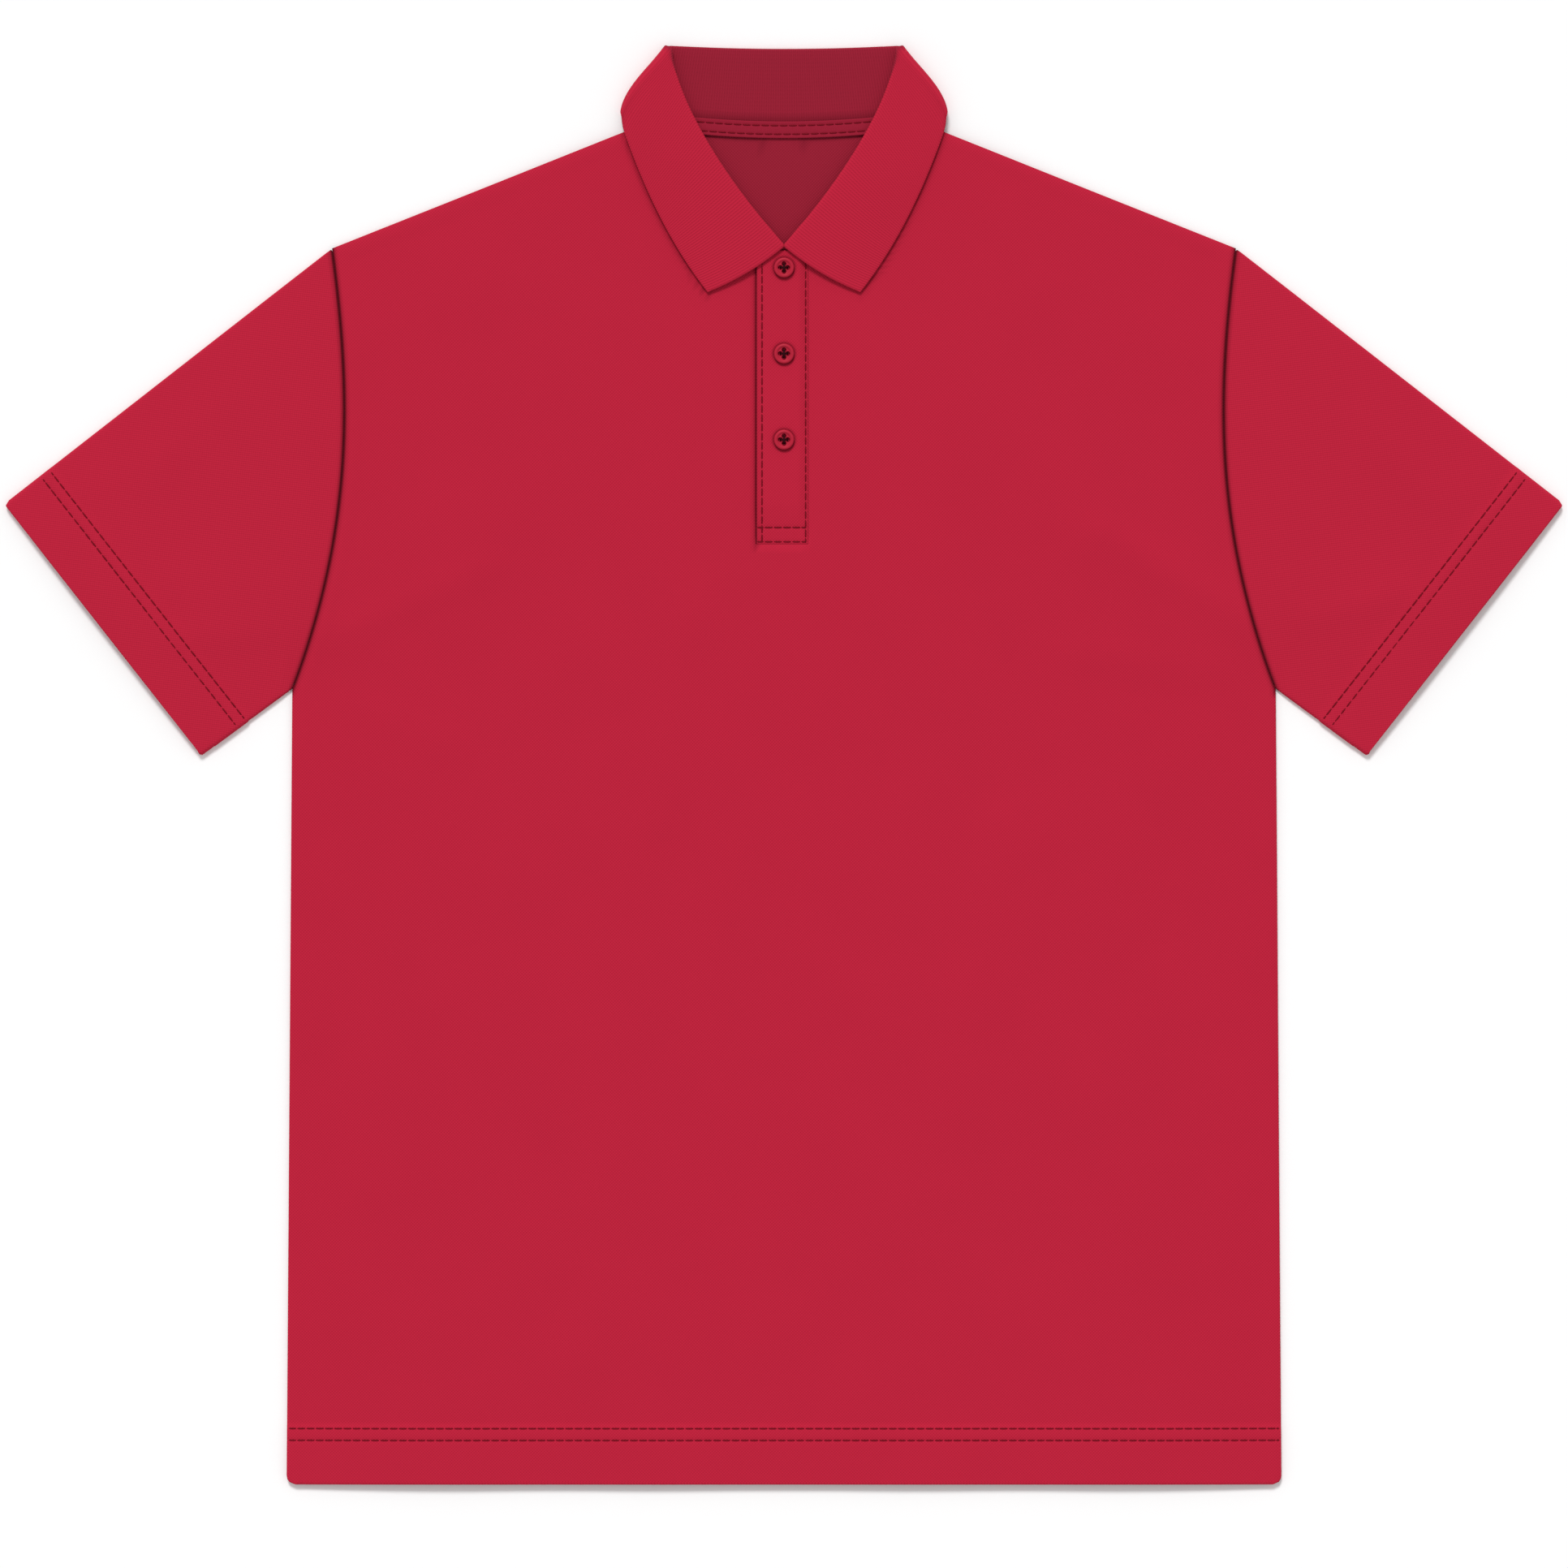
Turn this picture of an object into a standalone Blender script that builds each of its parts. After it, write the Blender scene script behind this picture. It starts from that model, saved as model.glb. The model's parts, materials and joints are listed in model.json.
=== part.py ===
"""Men's short-sleeved golf shirt, buttoned and laid flat on its back, front side up.

+X points to the wearer's left sleeve, +Y to the collar and +Z up, away from the surface it lies on.
The origin is on that surface, under the middle of the shirt. Sizes below are in millimetres, and
every mesh is scaled to metres as it is made.

The cloth lies in layers that share two height functions, back_mid and front_mid, so pieces that meet
at a seam meet at one height, and layers that lie on each other stay a stitch's gap apart.
"""
import bpy
import numpy as np
from math import pi

MM = 0.001

# Cloth, in millimetres
CLOTH = 1.2             # wall of the body and sleeves
RIB = 1.5               # wall of the flat-knit collar
TAPE = 1.0              # wall of the neck tape
GAP = 0.3               # space kept between pieces at a seam
HEM_EXTRA = 0.5         # how much the turned-up hems add to the wall
HEM_STEP = 2.5          # width of the slope from a hem to the single cloth

# Body
HEM_Y = -408.9          # bottom edge
HEM_DEPTH = 32.0        # turned-up hem of the body
HEM_CORNER = 5.0        # rounding of the two bottom corners
HALF_HEM = 282.7        # half width at the hem
UNDERARM = (279.5, 43.1)
SHOULDER = (256.9, 293.6)
NECK = (75.0, 366.0)    # where the shoulder seam meets the neck seam
FRONT_NECK_Y = 292.6    # neck seam at the centre front
BACK_NECK_Y = 360.8     # neck seam at the centre back
ARMHOLE_PULL = ((244.7, 133.3), (245.4, 209.9))    # control points of the armhole curve, from below

# Sleeves
CUFF_TOP = (443.2, 148.3)
CUFF_BOTTOM = (331.1, 5.3)
CUFF_DEPTH = 32.2       # turned-up hem of a sleeve
CUFF_CORNER = 1.2       # how far the two corners of the cuff draw in
CUFF_LIFT = 0.1         # how far its edge stands off the surface
SLEEVE_LIFT = 0.01      # how far its back layer stands off the surface
SLEEVE_ROLL = 0.8       # extra height of the sleeve's front layer over its back layer

# Placket
BAND_LEFT = -15.7       # free edge of the upper band
BAND_RIGHT = 13.7
BAND_BOTTOM = 125.5
BAND_RISE = CLOTH + GAP    # height of the upper band over the front
BAND_SLOPE = 4.2        # width over which its sewn edges come down to the front
BAND_FLAT = 0.8         # width at these edges that lies level with the front
FOOT_SLOPE = 5.6        # height above its foot at which the upper band has risen
UNDER_RIGHT = 8.5
UNDER_BOTTOM = 131.8

# Buttons
BUTTON_RADIUS = 5.7
BUTTON_HIGH = 2.3
BUTTON_TOP_Y = 282.5
BUTTON_SPACING = 48.9
BUTTON_COUNT = 3
HOLE_RADIUS = 0.85
HOLE_OFFSET = 2.1       # the four holes stand in a plus
DRILL_LENGTH = 8.0      # of the cutters, well through the button
BUTTON_PROFILE = (
    # radius and height, from the middle of the hollow over the rim to the middle of the foot
    (0.0, 1.5), (3.4, 1.5), (4.3, 2.1), (4.9, BUTTON_HIGH), (5.4, 2.05), (BUTTON_RADIUS, 1.4),
    (5.5, 0.6), (4.7, 0.0), (0.0, 0.0),
)

# Collar: a band that rises from the neck seam, rolls over and comes down as the leaf
ROLL_RADIUS = 1.0       # of the roll, at mid wall
LEAF_Z = RIB / 2 + 0.04    # back leaf, which lies on the surface
BACK_STAND_Z = LEAF_Z + 2 * ROLL_RADIUS
SEAM_RISE = 0.45        # front stand over the front panel, at the neck seam
CLOSED_RISE = 1.3       # the same at the closed front, where it stands on the placket
STAND_RISE = 1.75       # front stand over the front panel, at the roll
LEAF_RISE = STAND_RISE + 2 * ROLL_RADIUS
LEAF_EDGE_RISE = 2.2    # front leaf over the front panel, at its outer edge
ROLL_CURVE = ((0.15, 294.0), (27.8, 322.5), (64.0, 376.0), (64.6, 405.6))
LEAF_CURVE = ((43.4, 268.4), (65.6, 296.7), (79.8, 327.8), (91.7, 361.6))
CREASE_SEAM = (73.6, 367.2)     # foot of the stand's side crease
CREASE_ROLL = (64.6, 405.6)     # top of both side creases
CREASE_EDGE = (92.3, 367.9)     # foot of the leaf's side crease
BACK_ROLL_Y = 405.3     # the back roll at the centre back
BACK_ROLL_DIP = 1.8     # how much higher it is by the side creases
BACK_LEAF_PULL = ((84.0, 353.5), (40.0, 357.5))
BACK_LEAF_Y = 357.5
LEAF_SIDE_BOW = 2.2     # how far the leaf's side crease bows outwards
LEAF_FOOT_TUCK = 0.45   # share by which the side crease is flatter at its foot
LEAF_FOOT_SLANT = 2.0   # how far the outside of its foot stops short of the leaf's edge
LEAF_FRONT_BOW = 2.0    # how far the leaf's front edge bows downwards

# Neck tape
TAPE_WIDTH = 9.6
TAPE_HALF_LENGTH = 56.0
TAPE_Z = BACK_STAND_Z + (RIB + TAPE) / 2 + GAP

# The panels rise over the back leaf, which lies between them and the surface
LIFT = 2.0
LIFT_SIDE = (97.0, 190.0)       # |x| where the rise begins to fade, and where it ends
LIFT_FOOT = (270.0, 352.0)      # y where the rise ends, and where it is whole

# Where the front neck seam has a point, as angles of its ellipse; front and collar share them
NECK_LEAD = (0.0, 0.15)
NECK_ANGLES = tuple(np.linspace(0.3, pi / 2, 9))

# Soft fullness of the front over the back
FULLNESS = 1.7
FULL_WITHIN = 70.0              # distance from a seamed edge over which it builds up
NECK_CALM = (60.0, 170.0)       # distances from the neck over which it builds up
NECK_MIDDLE = (0.0, 335.0)
# Soft, low ridges in the front layer, on the wearer's left; the right side has their mirror images
RIDGES = (
    # x0, y0, x1, y1, half width, height
    (270.0, 60.0, 150.0, 150.0, 30.0, 0.7),
    (262.0, 40.0, 170.0, -60.0, 34.0, 0.6),
    (90.0, 80.0, 120.0, -160.0, 42.0, 0.5),
    (210.0, -150.0, 190.0, -400.0, 38.0, 0.6),
    (60.0, -230.0, 75.0, -405.0, 36.0, 0.5),
    (300.0, 90.0, 380.0, 110.0, 26.0, 0.5),
)

COLOURS = {
    # piece: base colour, roughness
    "knit": ((0.503, 0.016, 0.045), 0.85),
    "rib": ((0.503, 0.016, 0.045), 0.9),
    "tape": ((0.330, 0.020, 0.040), 0.8),
    "button": ((0.440, 0.014, 0.038), 0.35),
}


# ---------------------------------------------------------------- curves and heights

def smooth(low, high, value):
    """0 below low, 1 above high, and a soft S between them."""
    t = np.clip((value - low) / (high - low), 0.0, 1.0)
    return t * t * (3.0 - 2.0 * t)


def mix(start, end, share):
    """The points a share of the way from start to end, for arrays of points and shares."""
    return start + (end - start) * np.asarray(share)[..., None]


def bezier(p0, p1, p2, p3, t):
    """Points of a cubic curve."""
    t = np.asarray(t, float)[:, None]
    p0, p1, p2, p3 = (np.array(p, float) for p in (p0, p1, p2, p3))
    return (1 - t) ** 3 * p0 + 3 * (1 - t) ** 2 * t * p1 + 3 * (1 - t) * t * t * p2 + t ** 3 * p3


def unit(vectors):
    return vectors / np.linalg.norm(vectors, axis=-1, keepdims=True)


def distance(x, y, start, end):
    """How far points are from a straight line between two points."""
    ax, ay = end[0] - start[0], end[1] - start[1]
    along = np.clip(((x - start[0]) * ax + (y - start[1]) * ay) / (ax * ax + ay * ay), 0.0, 1.0)
    return np.hypot(x - start[0] - along * ax, y - start[1] - along * ay)


def lift(x, y):
    """Rise of both panels over the back leaf of the collar."""
    return LIFT * (1.0 - smooth(*LIFT_SIDE, np.abs(x))) * smooth(*LIFT_FOOT, y)


def fullness(x, y):
    """Height of the front over its flat place: none at the seamed edges, and a few soft ridges."""
    x = np.abs(x)
    share = smooth(*NECK_CALM, np.hypot(x - NECK_MIDDLE[0], y - NECK_MIDDLE[1]))
    edges = (
        (NECK, SHOULDER), (SHOULDER, CUFF_TOP), (CUFF_BOTTOM, UNDERARM), (UNDERARM, (HALF_HEM, HEM_Y)),
    )
    for start, end in edges:
        near = np.clip(distance(x, y, start, end) / FULL_WITHIN, 0.0, 1.0)
        share = share * (1.0 - (1.0 - near) ** 2)
    height = FULLNESS + 0.0 * x
    for x0, y0, x1, y1, width, high in RIDGES:
        height = height + high * np.exp(-(distance(x, y, (x0, y0), (x1, y1)) / width) ** 2)
    return share * height


def hem(x, y):
    """1 on the turned-up hems of the body and sleeves, and 0 elsewhere."""
    body = 1.0 - smooth(HEM_Y + HEM_DEPTH, HEM_Y + HEM_DEPTH + HEM_STEP, y)
    run = unit(np.array(CUFF_BOTTOM, float) - np.array(CUFF_TOP, float))
    inside = (CUFF_TOP[0] - np.abs(x)) * -run[1] - (CUFF_TOP[1] - y) * -run[0]
    sleeve = 1.0 - smooth(CUFF_DEPTH, CUFF_DEPTH + HEM_STEP, inside)
    return np.where(np.abs(x) > HALF_HEM + CUFF_DEPTH / 4, sleeve, body)


def back_mid(x, y):
    """Middle of the back layer's wall."""
    return CLOTH / 2 + lift(x, y) + hem(x, y) * HEM_EXTRA / 2


def front_mid(x, y):
    """Middle of the front layer's wall."""
    return CLOTH * 1.5 + GAP + lift(x, y) + fullness(x, y) + hem(x, y) * HEM_EXTRA * 1.5


def front_neck(angle):
    """The front neck seam, a quarter ellipse: 0 at the centre front, a right angle at the shoulder."""
    angle = np.asarray(angle, float)
    return np.stack([NECK[0] * np.sin(angle), NECK[1] - (NECK[1] - FRONT_NECK_Y) * np.cos(angle)], -1)


def front_neck_y(x):
    """Height in the picture of the front neck seam at x."""
    return front_neck(np.arcsin(x / NECK[0]))[..., 1]


def back_neck_y(x):
    """Height in the picture of the back neck seam, a shallow dip between the shoulders."""
    return BACK_NECK_Y + (NECK[1] - BACK_NECK_Y) * (x / NECK[0]) ** 2


def armhole(t):
    """The armhole seam, from the underarm (t = 0) to the shoulder (t = 1)."""
    return bezier(UNDERARM, *ARMHOLE_PULL, SHOULDER, t)


# ---------------------------------------------------------------- objects

def clear_scene():
    for item in list(bpy.data.objects):
        bpy.data.objects.remove(item, do_unlink=True)


def new_collection(name):
    group = bpy.data.collections.new(name)
    bpy.context.scene.collection.children.link(group)
    return group


def make_material(name, base, roughness):
    material = bpy.data.materials.new(name)
    material.use_nodes = True
    shader = material.node_tree.nodes["Principled BSDF"]
    shader.inputs["Base Color"].default_value = (*base, 1.0)
    shader.inputs["Roughness"].default_value = roughness
    shader.inputs["Metallic"].default_value = 0.0
    return material


def new_object(name, points, faces, group, look):
    """An object whose mesh has these points, given in millimetres."""
    mesh = bpy.data.meshes.new(name)
    mesh.from_pydata((np.asarray(points, float) * MM).tolist(), [], faces)
    mesh.update()
    item = bpy.data.objects.new(name, mesh)
    group.objects.link(item)
    if look:
        mesh.materials.append(make_material(name, *COLOURS[look]))
    return item


def add_wall(item, thickness, hems=None):
    """Thickens an open surface to both sides of itself; hems weighs the thicker places."""
    wall = item.modifiers.new("wall", "SOLIDIFY")
    wall.offset = 0.0
    wall.use_even_offset = True
    wall.thickness = thickness * MM
    if hems is not None:
        group = item.vertex_groups.new(name="hem")
        for index, weight in enumerate(hems):
            group.add([index], float(weight), "REPLACE")
        wall.vertex_group = "hem"
        wall.thickness = (thickness + HEM_EXTRA) * MM
        wall.thickness_vertex_group = thickness / (thickness + HEM_EXTRA)


def grid_faces(rows, columns, first=0, wrap=False):
    """Faces of a grid of points stored row by row; wrap joins its last column to its first."""
    faces = []
    for r in range(rows - 1):
        for c in range(columns if wrap else columns - 1):
            a, b = first + r * columns + c, first + r * columns + (c + 1) % columns
            faces.append((a, b, b + columns, a + columns))
    return faces


def merge_grids(grids):
    """One list of points and faces from several grids that share their edge points."""
    points, faces, place = [], [], {}
    for grid in grids:
        rows, columns = grid.shape[:2]
        index = []
        for p in grid.reshape(-1, 2):
            key = (round(float(p[0]), 3), round(float(p[1]), 3))
            if key not in place:
                place[key] = len(points)
                points.append(key)
            index.append(place[key])
        for face in grid_faces(rows, columns):
            faces.append(tuple(index[i] for i in face))
    return np.array(points), faces


# ---------------------------------------------------------------- front and back

def stretch(start, end, count):
    """Even steps from start up to, but not with, end."""
    return list(np.linspace(start, end, count, endpoint=False))


def side_edge(y):
    """The side seam at the heights y, with the bottom corner rounded."""
    straight = UNDERARM[0] + (HALF_HEM - UNDERARM[0]) * (UNDERARM[1] - y) / (UNDERARM[1] - HEM_Y)
    short = np.clip(HEM_CORNER - (y - HEM_Y), 0.0, HEM_CORNER)
    return straight - (HEM_CORNER - np.sqrt(HEM_CORNER ** 2 - short ** 2))


def body_rows(slot_y, low_rows, high_rows):
    """Heights of the level rows, from the hem up to just under slot_y."""
    hem_top = HEM_Y + HEM_DEPTH
    rows = [HEM_Y, HEM_Y + 1.5, HEM_Y + HEM_CORNER, hem_top, hem_top + HEM_STEP]
    rows += stretch(hem_top + 26.0, UNDERARM[1], low_rows)
    return np.array(rows + stretch(UNDERARM[1], slot_y, high_rows))


def panel_half(inner_x, levels, slot_y, neck_line, columns):
    """Right half of a panel, as rows of plan points from the inner edge to the outer one.

    Below slot_y the rows are level. Above it they fan out, from the placket's edge and the neck
    line on the inside to the armhole on the outside, and the last row is the shoulder seam.
    """
    edge = np.linspace((inner_x, slot_y), neck_line[0], 6, endpoint=False)
    inner = np.concatenate([np.stack([np.full(len(levels), inner_x), levels], -1), edge, neck_line])
    t = np.linspace(0.0, 1.0, 200)
    slot_t = float(np.interp(slot_y, armhole(t)[:, 1], t))
    low = levels[levels < UNDERARM[1]]
    outer = np.concatenate([
        np.stack([side_edge(low), low], -1),
        armhole(np.linspace(0.0, slot_t, len(levels) - len(low), endpoint=False)),
        armhole(np.linspace(slot_t, 1.0, len(edge) + len(neck_line))),
    ])
    share = np.linspace(0.0, 1.0, columns + 1)
    return mix(inner[:, None, :], outer[:, None, :], share[None, :] + np.zeros((len(inner), 1)))


def mirrored(grid):
    """The same grid on the other side, its columns still running towards +X."""
    return grid[:, ::-1] * np.array([-1.0, 1.0])


def make_front(group):
    """The front, with the placket's slot left open from the neck down."""
    slot_y = BAND_BOTTOM - GAP
    levels = body_rows(slot_y, low_rows=13, high_rows=4)
    right_x, left_x = BAND_RIGHT + GAP, -BAND_LEFT + GAP
    halves = []
    for inner_x in (right_x, left_x):
        line = front_neck([np.arcsin(inner_x / NECK[0]), *NECK_ANGLES])
        halves.append(panel_half(inner_x, levels, slot_y, line, columns=9))
    across = np.linspace(-left_x, right_x, 3)
    strip = np.stack(np.broadcast_arrays(across[None, :], np.append(levels, slot_y)[:, None]), -1)
    plan, faces = merge_grids([mirrored(halves[1]), strip, halves[0]])
    return panel_object("front_panel", plan, faces, front_mid, group)


def make_back(group):
    line_x = NECK[0] * np.linspace(0.0, 1.0, 8)
    line = np.stack([line_x, back_neck_y(line_x)], -1)
    fan_y = 200.0
    levels = body_rows(fan_y, low_rows=6, high_rows=7)
    half = panel_half(0.0, levels, fan_y, line, columns=7)
    plan, faces = merge_grids([mirrored(half), half])
    return panel_object("back_panel", plan, faces, back_mid, group)


def panel_object(name, plan, faces, height, group):
    x, y = plan.T
    item = new_object(name, np.stack([x, y, height(x, y)], -1), faces, group, "knit")
    add_wall(item, CLOTH, hem(x, y))
    return item


# ---------------------------------------------------------------- sleeves

def make_sleeve(name, side, group):
    """A flattened tube: the front layer, a fold, the back layer, and the underarm edge."""
    across, turn = 10, 4
    along = np.concatenate([np.linspace(0.0, 0.84, 7), [0.852, 0.93, 0.985, 1.0]])
    top, bottom = np.array(SHOULDER), np.array(UNDERARM)
    top_out = np.array([-(CUFF_TOP[1] - SHOULDER[1]), CUFF_TOP[0] - SHOULDER[0]], float)
    bottom_out = np.array([CUFF_BOTTOM[1] - UNDERARM[1], -(CUFF_BOTTOM[0] - UNDERARM[0])], float)
    top_out, bottom_out = unit(top_out), unit(bottom_out)
    share = np.append(np.linspace(0.0, 0.91, across - 1), [0.96, 1.0])
    seam = armhole(1.0 - share)
    slope = unit(np.gradient(seam, share, axis=0))
    seam = seam + GAP * 1.4 * np.stack([-slope[:, 1], slope[:, 0]], -1)
    seam[0], seam[-1] = top + (GAP, 0.0), bottom + (CLOTH + 2.0 * GAP, 0.0)
    cuff = mix(np.array(CUFF_TOP, float), np.array(CUFF_BOTTOM, float), share)
    rings = []
    for a in along:
        line = seam + (cuff - seam) * a
        roll = SLEEVE_ROLL * smooth(0.0, 0.2, a)
        at_cuff = smooth(0.985, 1.0, a)
        wall = (CLOTH + HEM_EXTRA * hem(*line[0])) / 2
        for end, following, outward in ((0, 1, top_out), (-1, -2, bottom_out)):
            radius = (front_mid(*line[end]) + roll - back_mid(*line[end])) / 2
            run = unit(line[following] - line[end])
            line[end] += run * (radius + wall + CUFF_CORNER * at_cuff) / -(run @ outward)
        x, y = line.T
        upper = np.stack([x, y, front_mid(x, y) + roll], -1)
        lower = np.stack([x, y, back_mid(x, y) + SLEEVE_LIFT + CUFF_LIFT * at_cuff], -1)
        angle = np.linspace(0.0, pi, turn + 1)[1:-1]
        under_turn = turned(upper[-1], lower[-1], bottom_out, angle)
        over_turn = turned(lower[0], upper[0], top_out, angle)
        rings.append(np.concatenate([upper, under_turn, lower[::-1], over_turn]))
    rings = np.array(rings)
    weight = hem(rings[..., 0], rings[..., 1])
    points = rings.reshape(-1, 3) * (side, 1.0, 1.0)
    faces = grid_faces(*rings.shape[:2], wrap=True)
    if side < 0:
        faces = [face[::-1] for face in faces]
    item = new_object(name, points, faces, group, "knit")
    add_wall(item, CLOTH, weight.reshape(-1))
    return item


def turned(start, end, outward, angle):
    """Points of the half turn from start to end, bulging outward in plan."""
    middle, radius = (start + end) / 2, (start[2] - end[2]) / 2
    bulge = np.sin(angle)[:, None] * np.append(outward, 0.0) * abs(radius)
    return middle + bulge + np.cos(angle)[:, None] * np.array([0.0, 0.0, radius])


# ---------------------------------------------------------------- collar

def make_collar(group):
    """The rib band: half of it is laid out from the closed front round to the centre back.

    Each column of points runs from the neck seam up the stand, over the roll and down the leaf. The
    front columns lie on the front panel's height, the back ones on the surface, and the columns
    between them turn about the side creases.
    """
    side, back = 6, 7
    angles = np.array([*NECK_LEAD, *NECK_ANGLES])
    front = len(angles)
    q = angles / angles[-1]
    p = np.linspace(0.0, 1.0, back + 1)[1:]
    crease = [np.array(point, float) for point in (CREASE_SEAM, CREASE_ROLL, CREASE_EDGE)]

    # plan points of the neck seam, the roll and the outer edge, column by column
    seam = front_neck(angles)
    seam = seam + GAP * unit(np.array([0.0, NECK[1]]) - seam)
    seam[0, 0] = GAP / 2
    seam[-1] = crease[0]
    roll = bezier(*ROLL_CURVE, q)
    edge = mix(bezier(*LEAF_CURVE, np.clip(q / 0.94, 0.0, 1.0)), crease[2], smooth(0.9, 1.0, q))
    ease = p ** 1.2
    back_x = crease[0][0] * (1.0 - ease)
    back_seam = np.stack([back_x, back_neck_y(back_x) + GAP], -1)
    roll_y = BACK_ROLL_Y + BACK_ROLL_DIP * (1.0 - ease) ** 2
    back_roll = np.stack([crease[1][0] * (1.0 - ease), roll_y], -1)
    back_edge = bezier(CREASE_EDGE, *BACK_LEAF_PULL, (0.0, BACK_LEAF_Y), ease)

    turn = np.linspace(0.0, pi, side + 1)[1:-1]
    around = [np.repeat(point[None], side, 0) for point in crease]
    corner_rise = BACK_ROLL_Y + BACK_ROLL_DIP - crease[1][1]
    sweep = np.append(turn, pi)
    around[1][:, 1] += corner_rise * (1.0 - np.sin(sweep)) * (sweep > pi / 2)
    seam = np.concatenate([seam, around[0], back_seam])
    roll = np.concatenate([roll, around[1], back_roll])
    edge = np.concatenate([edge, around[2], back_edge])
    phi = np.concatenate([np.zeros(front), sweep, np.full(back, pi)])

    # direction in plan in which the roll bulges: up at the closed front, across the roll line
    # along the front, and up again from the side crease to the back
    slope = unit(np.gradient(bezier(*ROLL_CURVE, q), axis=0))
    across = np.stack([-slope[:, 1], slope[:, 0]], -1)
    top = unit(np.array([-0.37, 0.93]))
    lean = mix(np.array([0.0, 1.0]), across, smooth(0.0, 0.12, q))
    lean = unit(mix(lean, top, smooth(0.75, 1.0, q)))
    back_lean = unit(mix(top, np.array([0.0, 1.0]), smooth(0.0, 0.35, p)))
    lean = np.concatenate([lean, np.repeat(top[None], side, 0), back_lean])

    # rows: up the stand, over the roll, down the leaf
    stand, over, leaf = 4, 5, 5
    up = np.linspace(0.0, 1.0, stand + 1)
    psi = np.linspace(0.0, pi, over + 1)[1:-1]
    down = np.linspace(0.0, 1.0, leaf + 1)
    stand_out, leaf_out = unit(np.array([0.98, 0.18])), unit(np.array([0.825, 0.565]))
    beside = np.concatenate([q ** 6, np.ones(side), (1.0 - smooth(0.0, 0.3, p))])
    at_front = np.concatenate([(1.0 - smooth(0.0, 0.5, q)), np.zeros(side + back)])
    downwards = unit(np.array([-0.53, -0.85]))
    upwards = unit(crease[1] - crease[2])

    rows = []
    for u in up:
        plan = mix(seam, roll, np.full(len(seam), u))
        foot = SEAM_RISE + (CLOSED_RISE - SEAM_RISE) * (1.0 - smooth(12.0, 26.0, plan[:, 0]))
        front_z = front_mid(*plan.T) + foot + (STAND_RISE - foot) * smooth(0.0, 0.6, u)
        back_z = np.full(len(plan), BACK_STAND_Z)
        rows.append(about(plan, stand_out, front_z, back_z, phi, 1.0))
    leaf_rows = []
    for u in down:
        plan = mix(roll, edge, np.full(len(roll), u))
        side_bow, front_bow = 6.75 * u * u * (1.0 - u), 4.0 * u * (1.0 - u)    # each 1 at its peak
        plan = plan + side_bow * LEAF_SIDE_BOW * beside[:, None] * leaf_out
        plan = plan + front_bow * LEAF_FRONT_BOW * at_front[:, None] * downwards
        plan = plan + (LEAF_FOOT_SLANT * u ** 6 * np.sin(phi))[:, None] * upwards
        front_z = front_mid(*plan.T) + LEAF_RISE + (LEAF_EDGE_RISE - LEAF_RISE) * u * u
        back_z = np.full(len(plan), LEAF_Z)
        leaf_rows.append(about(plan, leaf_out, front_z, back_z, phi, 1.0 - LEAF_FOOT_TUCK * u ** 4))
    for angle in psi:
        low, high = rows[stand], leaf_rows[0]
        bulge = np.sin(angle) * ROLL_RADIUS * np.concatenate([lean, np.zeros((len(lean), 1))], -1)
        rows.append((low + high) / 2 - (high - low) / 2 * np.cos(angle) + bulge)
    rows += leaf_rows
    grid = np.array(rows)
    grid[:, :, 0] = np.maximum(grid[:, :, 0], GAP / 2)
    grid[:, -1, 0] = 0.0

    item = new_object("collar", grid.reshape(-1, 3), grid_faces(*grid.shape[:2]), group, "rib")
    twin = item.modifiers.new("other half", "MIRROR")
    twin.use_axis = (True, False, False)
    twin.merge_threshold = 0.00005
    add_wall(item, RIB)
    return item


def about(plan, outward, front_z, back_z, phi, bulge):
    """Points at the angle phi of the half turn from the front height to the back height."""
    middle, radius = (front_z + back_z) / 2, (front_z - back_z) / 2
    x, y = (plan + (radius * bulge * np.sin(phi))[:, None] * outward).T
    return np.stack([x, y, middle + radius * np.cos(phi)], -1)


# ---------------------------------------------------------------- placket, tape and buttons

def make_band(name, xs, bottom, rise, group):
    """A band in the placket, its top edge cut to the neck seam."""
    steps = 14
    xs = np.array(xs, float)
    share = np.linspace(0.0, 1.0, steps + 1)
    share = np.sort(np.append(share, [0.005, 0.018, 0.033]))
    top = front_neck_y(xs) - GAP / 2
    y = bottom + (top - bottom) * share[:, None]
    x = np.broadcast_to(xs, y.shape)
    z = front_mid(x, y) + rise(x, y)
    faces = grid_faces(*x.shape)
    item = new_object(name, np.stack([x, y, z], -1).reshape(-1, 3), faces, group, "knit")
    add_wall(item, CLOTH)
    return item


def upper_rise(x, y):
    """The upper band lies over the under band and comes down level with the front at its seams."""
    side = 1.0 - smooth(BAND_RIGHT - BAND_SLOPE, BAND_RIGHT - BAND_FLAT, x)
    return BAND_RISE * side * smooth(BAND_BOTTOM + BAND_FLAT, BAND_BOTTOM + FOOT_SLOPE, y)


def level_rise(x, y):
    """The under band lies in the slot, level with the front."""
    return np.zeros(np.shape(x + y))


def make_placket(group):
    upper = (BAND_LEFT, -12.7, -5.0, 3.0, 9.5, 10.7, 11.8, BAND_RIGHT - BAND_FLAT, BAND_RIGHT)
    make_band("placket_top", upper, BAND_BOTTOM, upper_rise, group)
    under = (BAND_LEFT, -8.0, 0.0, UNDER_RIGHT)
    make_band("placket_under", under, UNDER_BOTTOM, level_rise, group)


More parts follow.
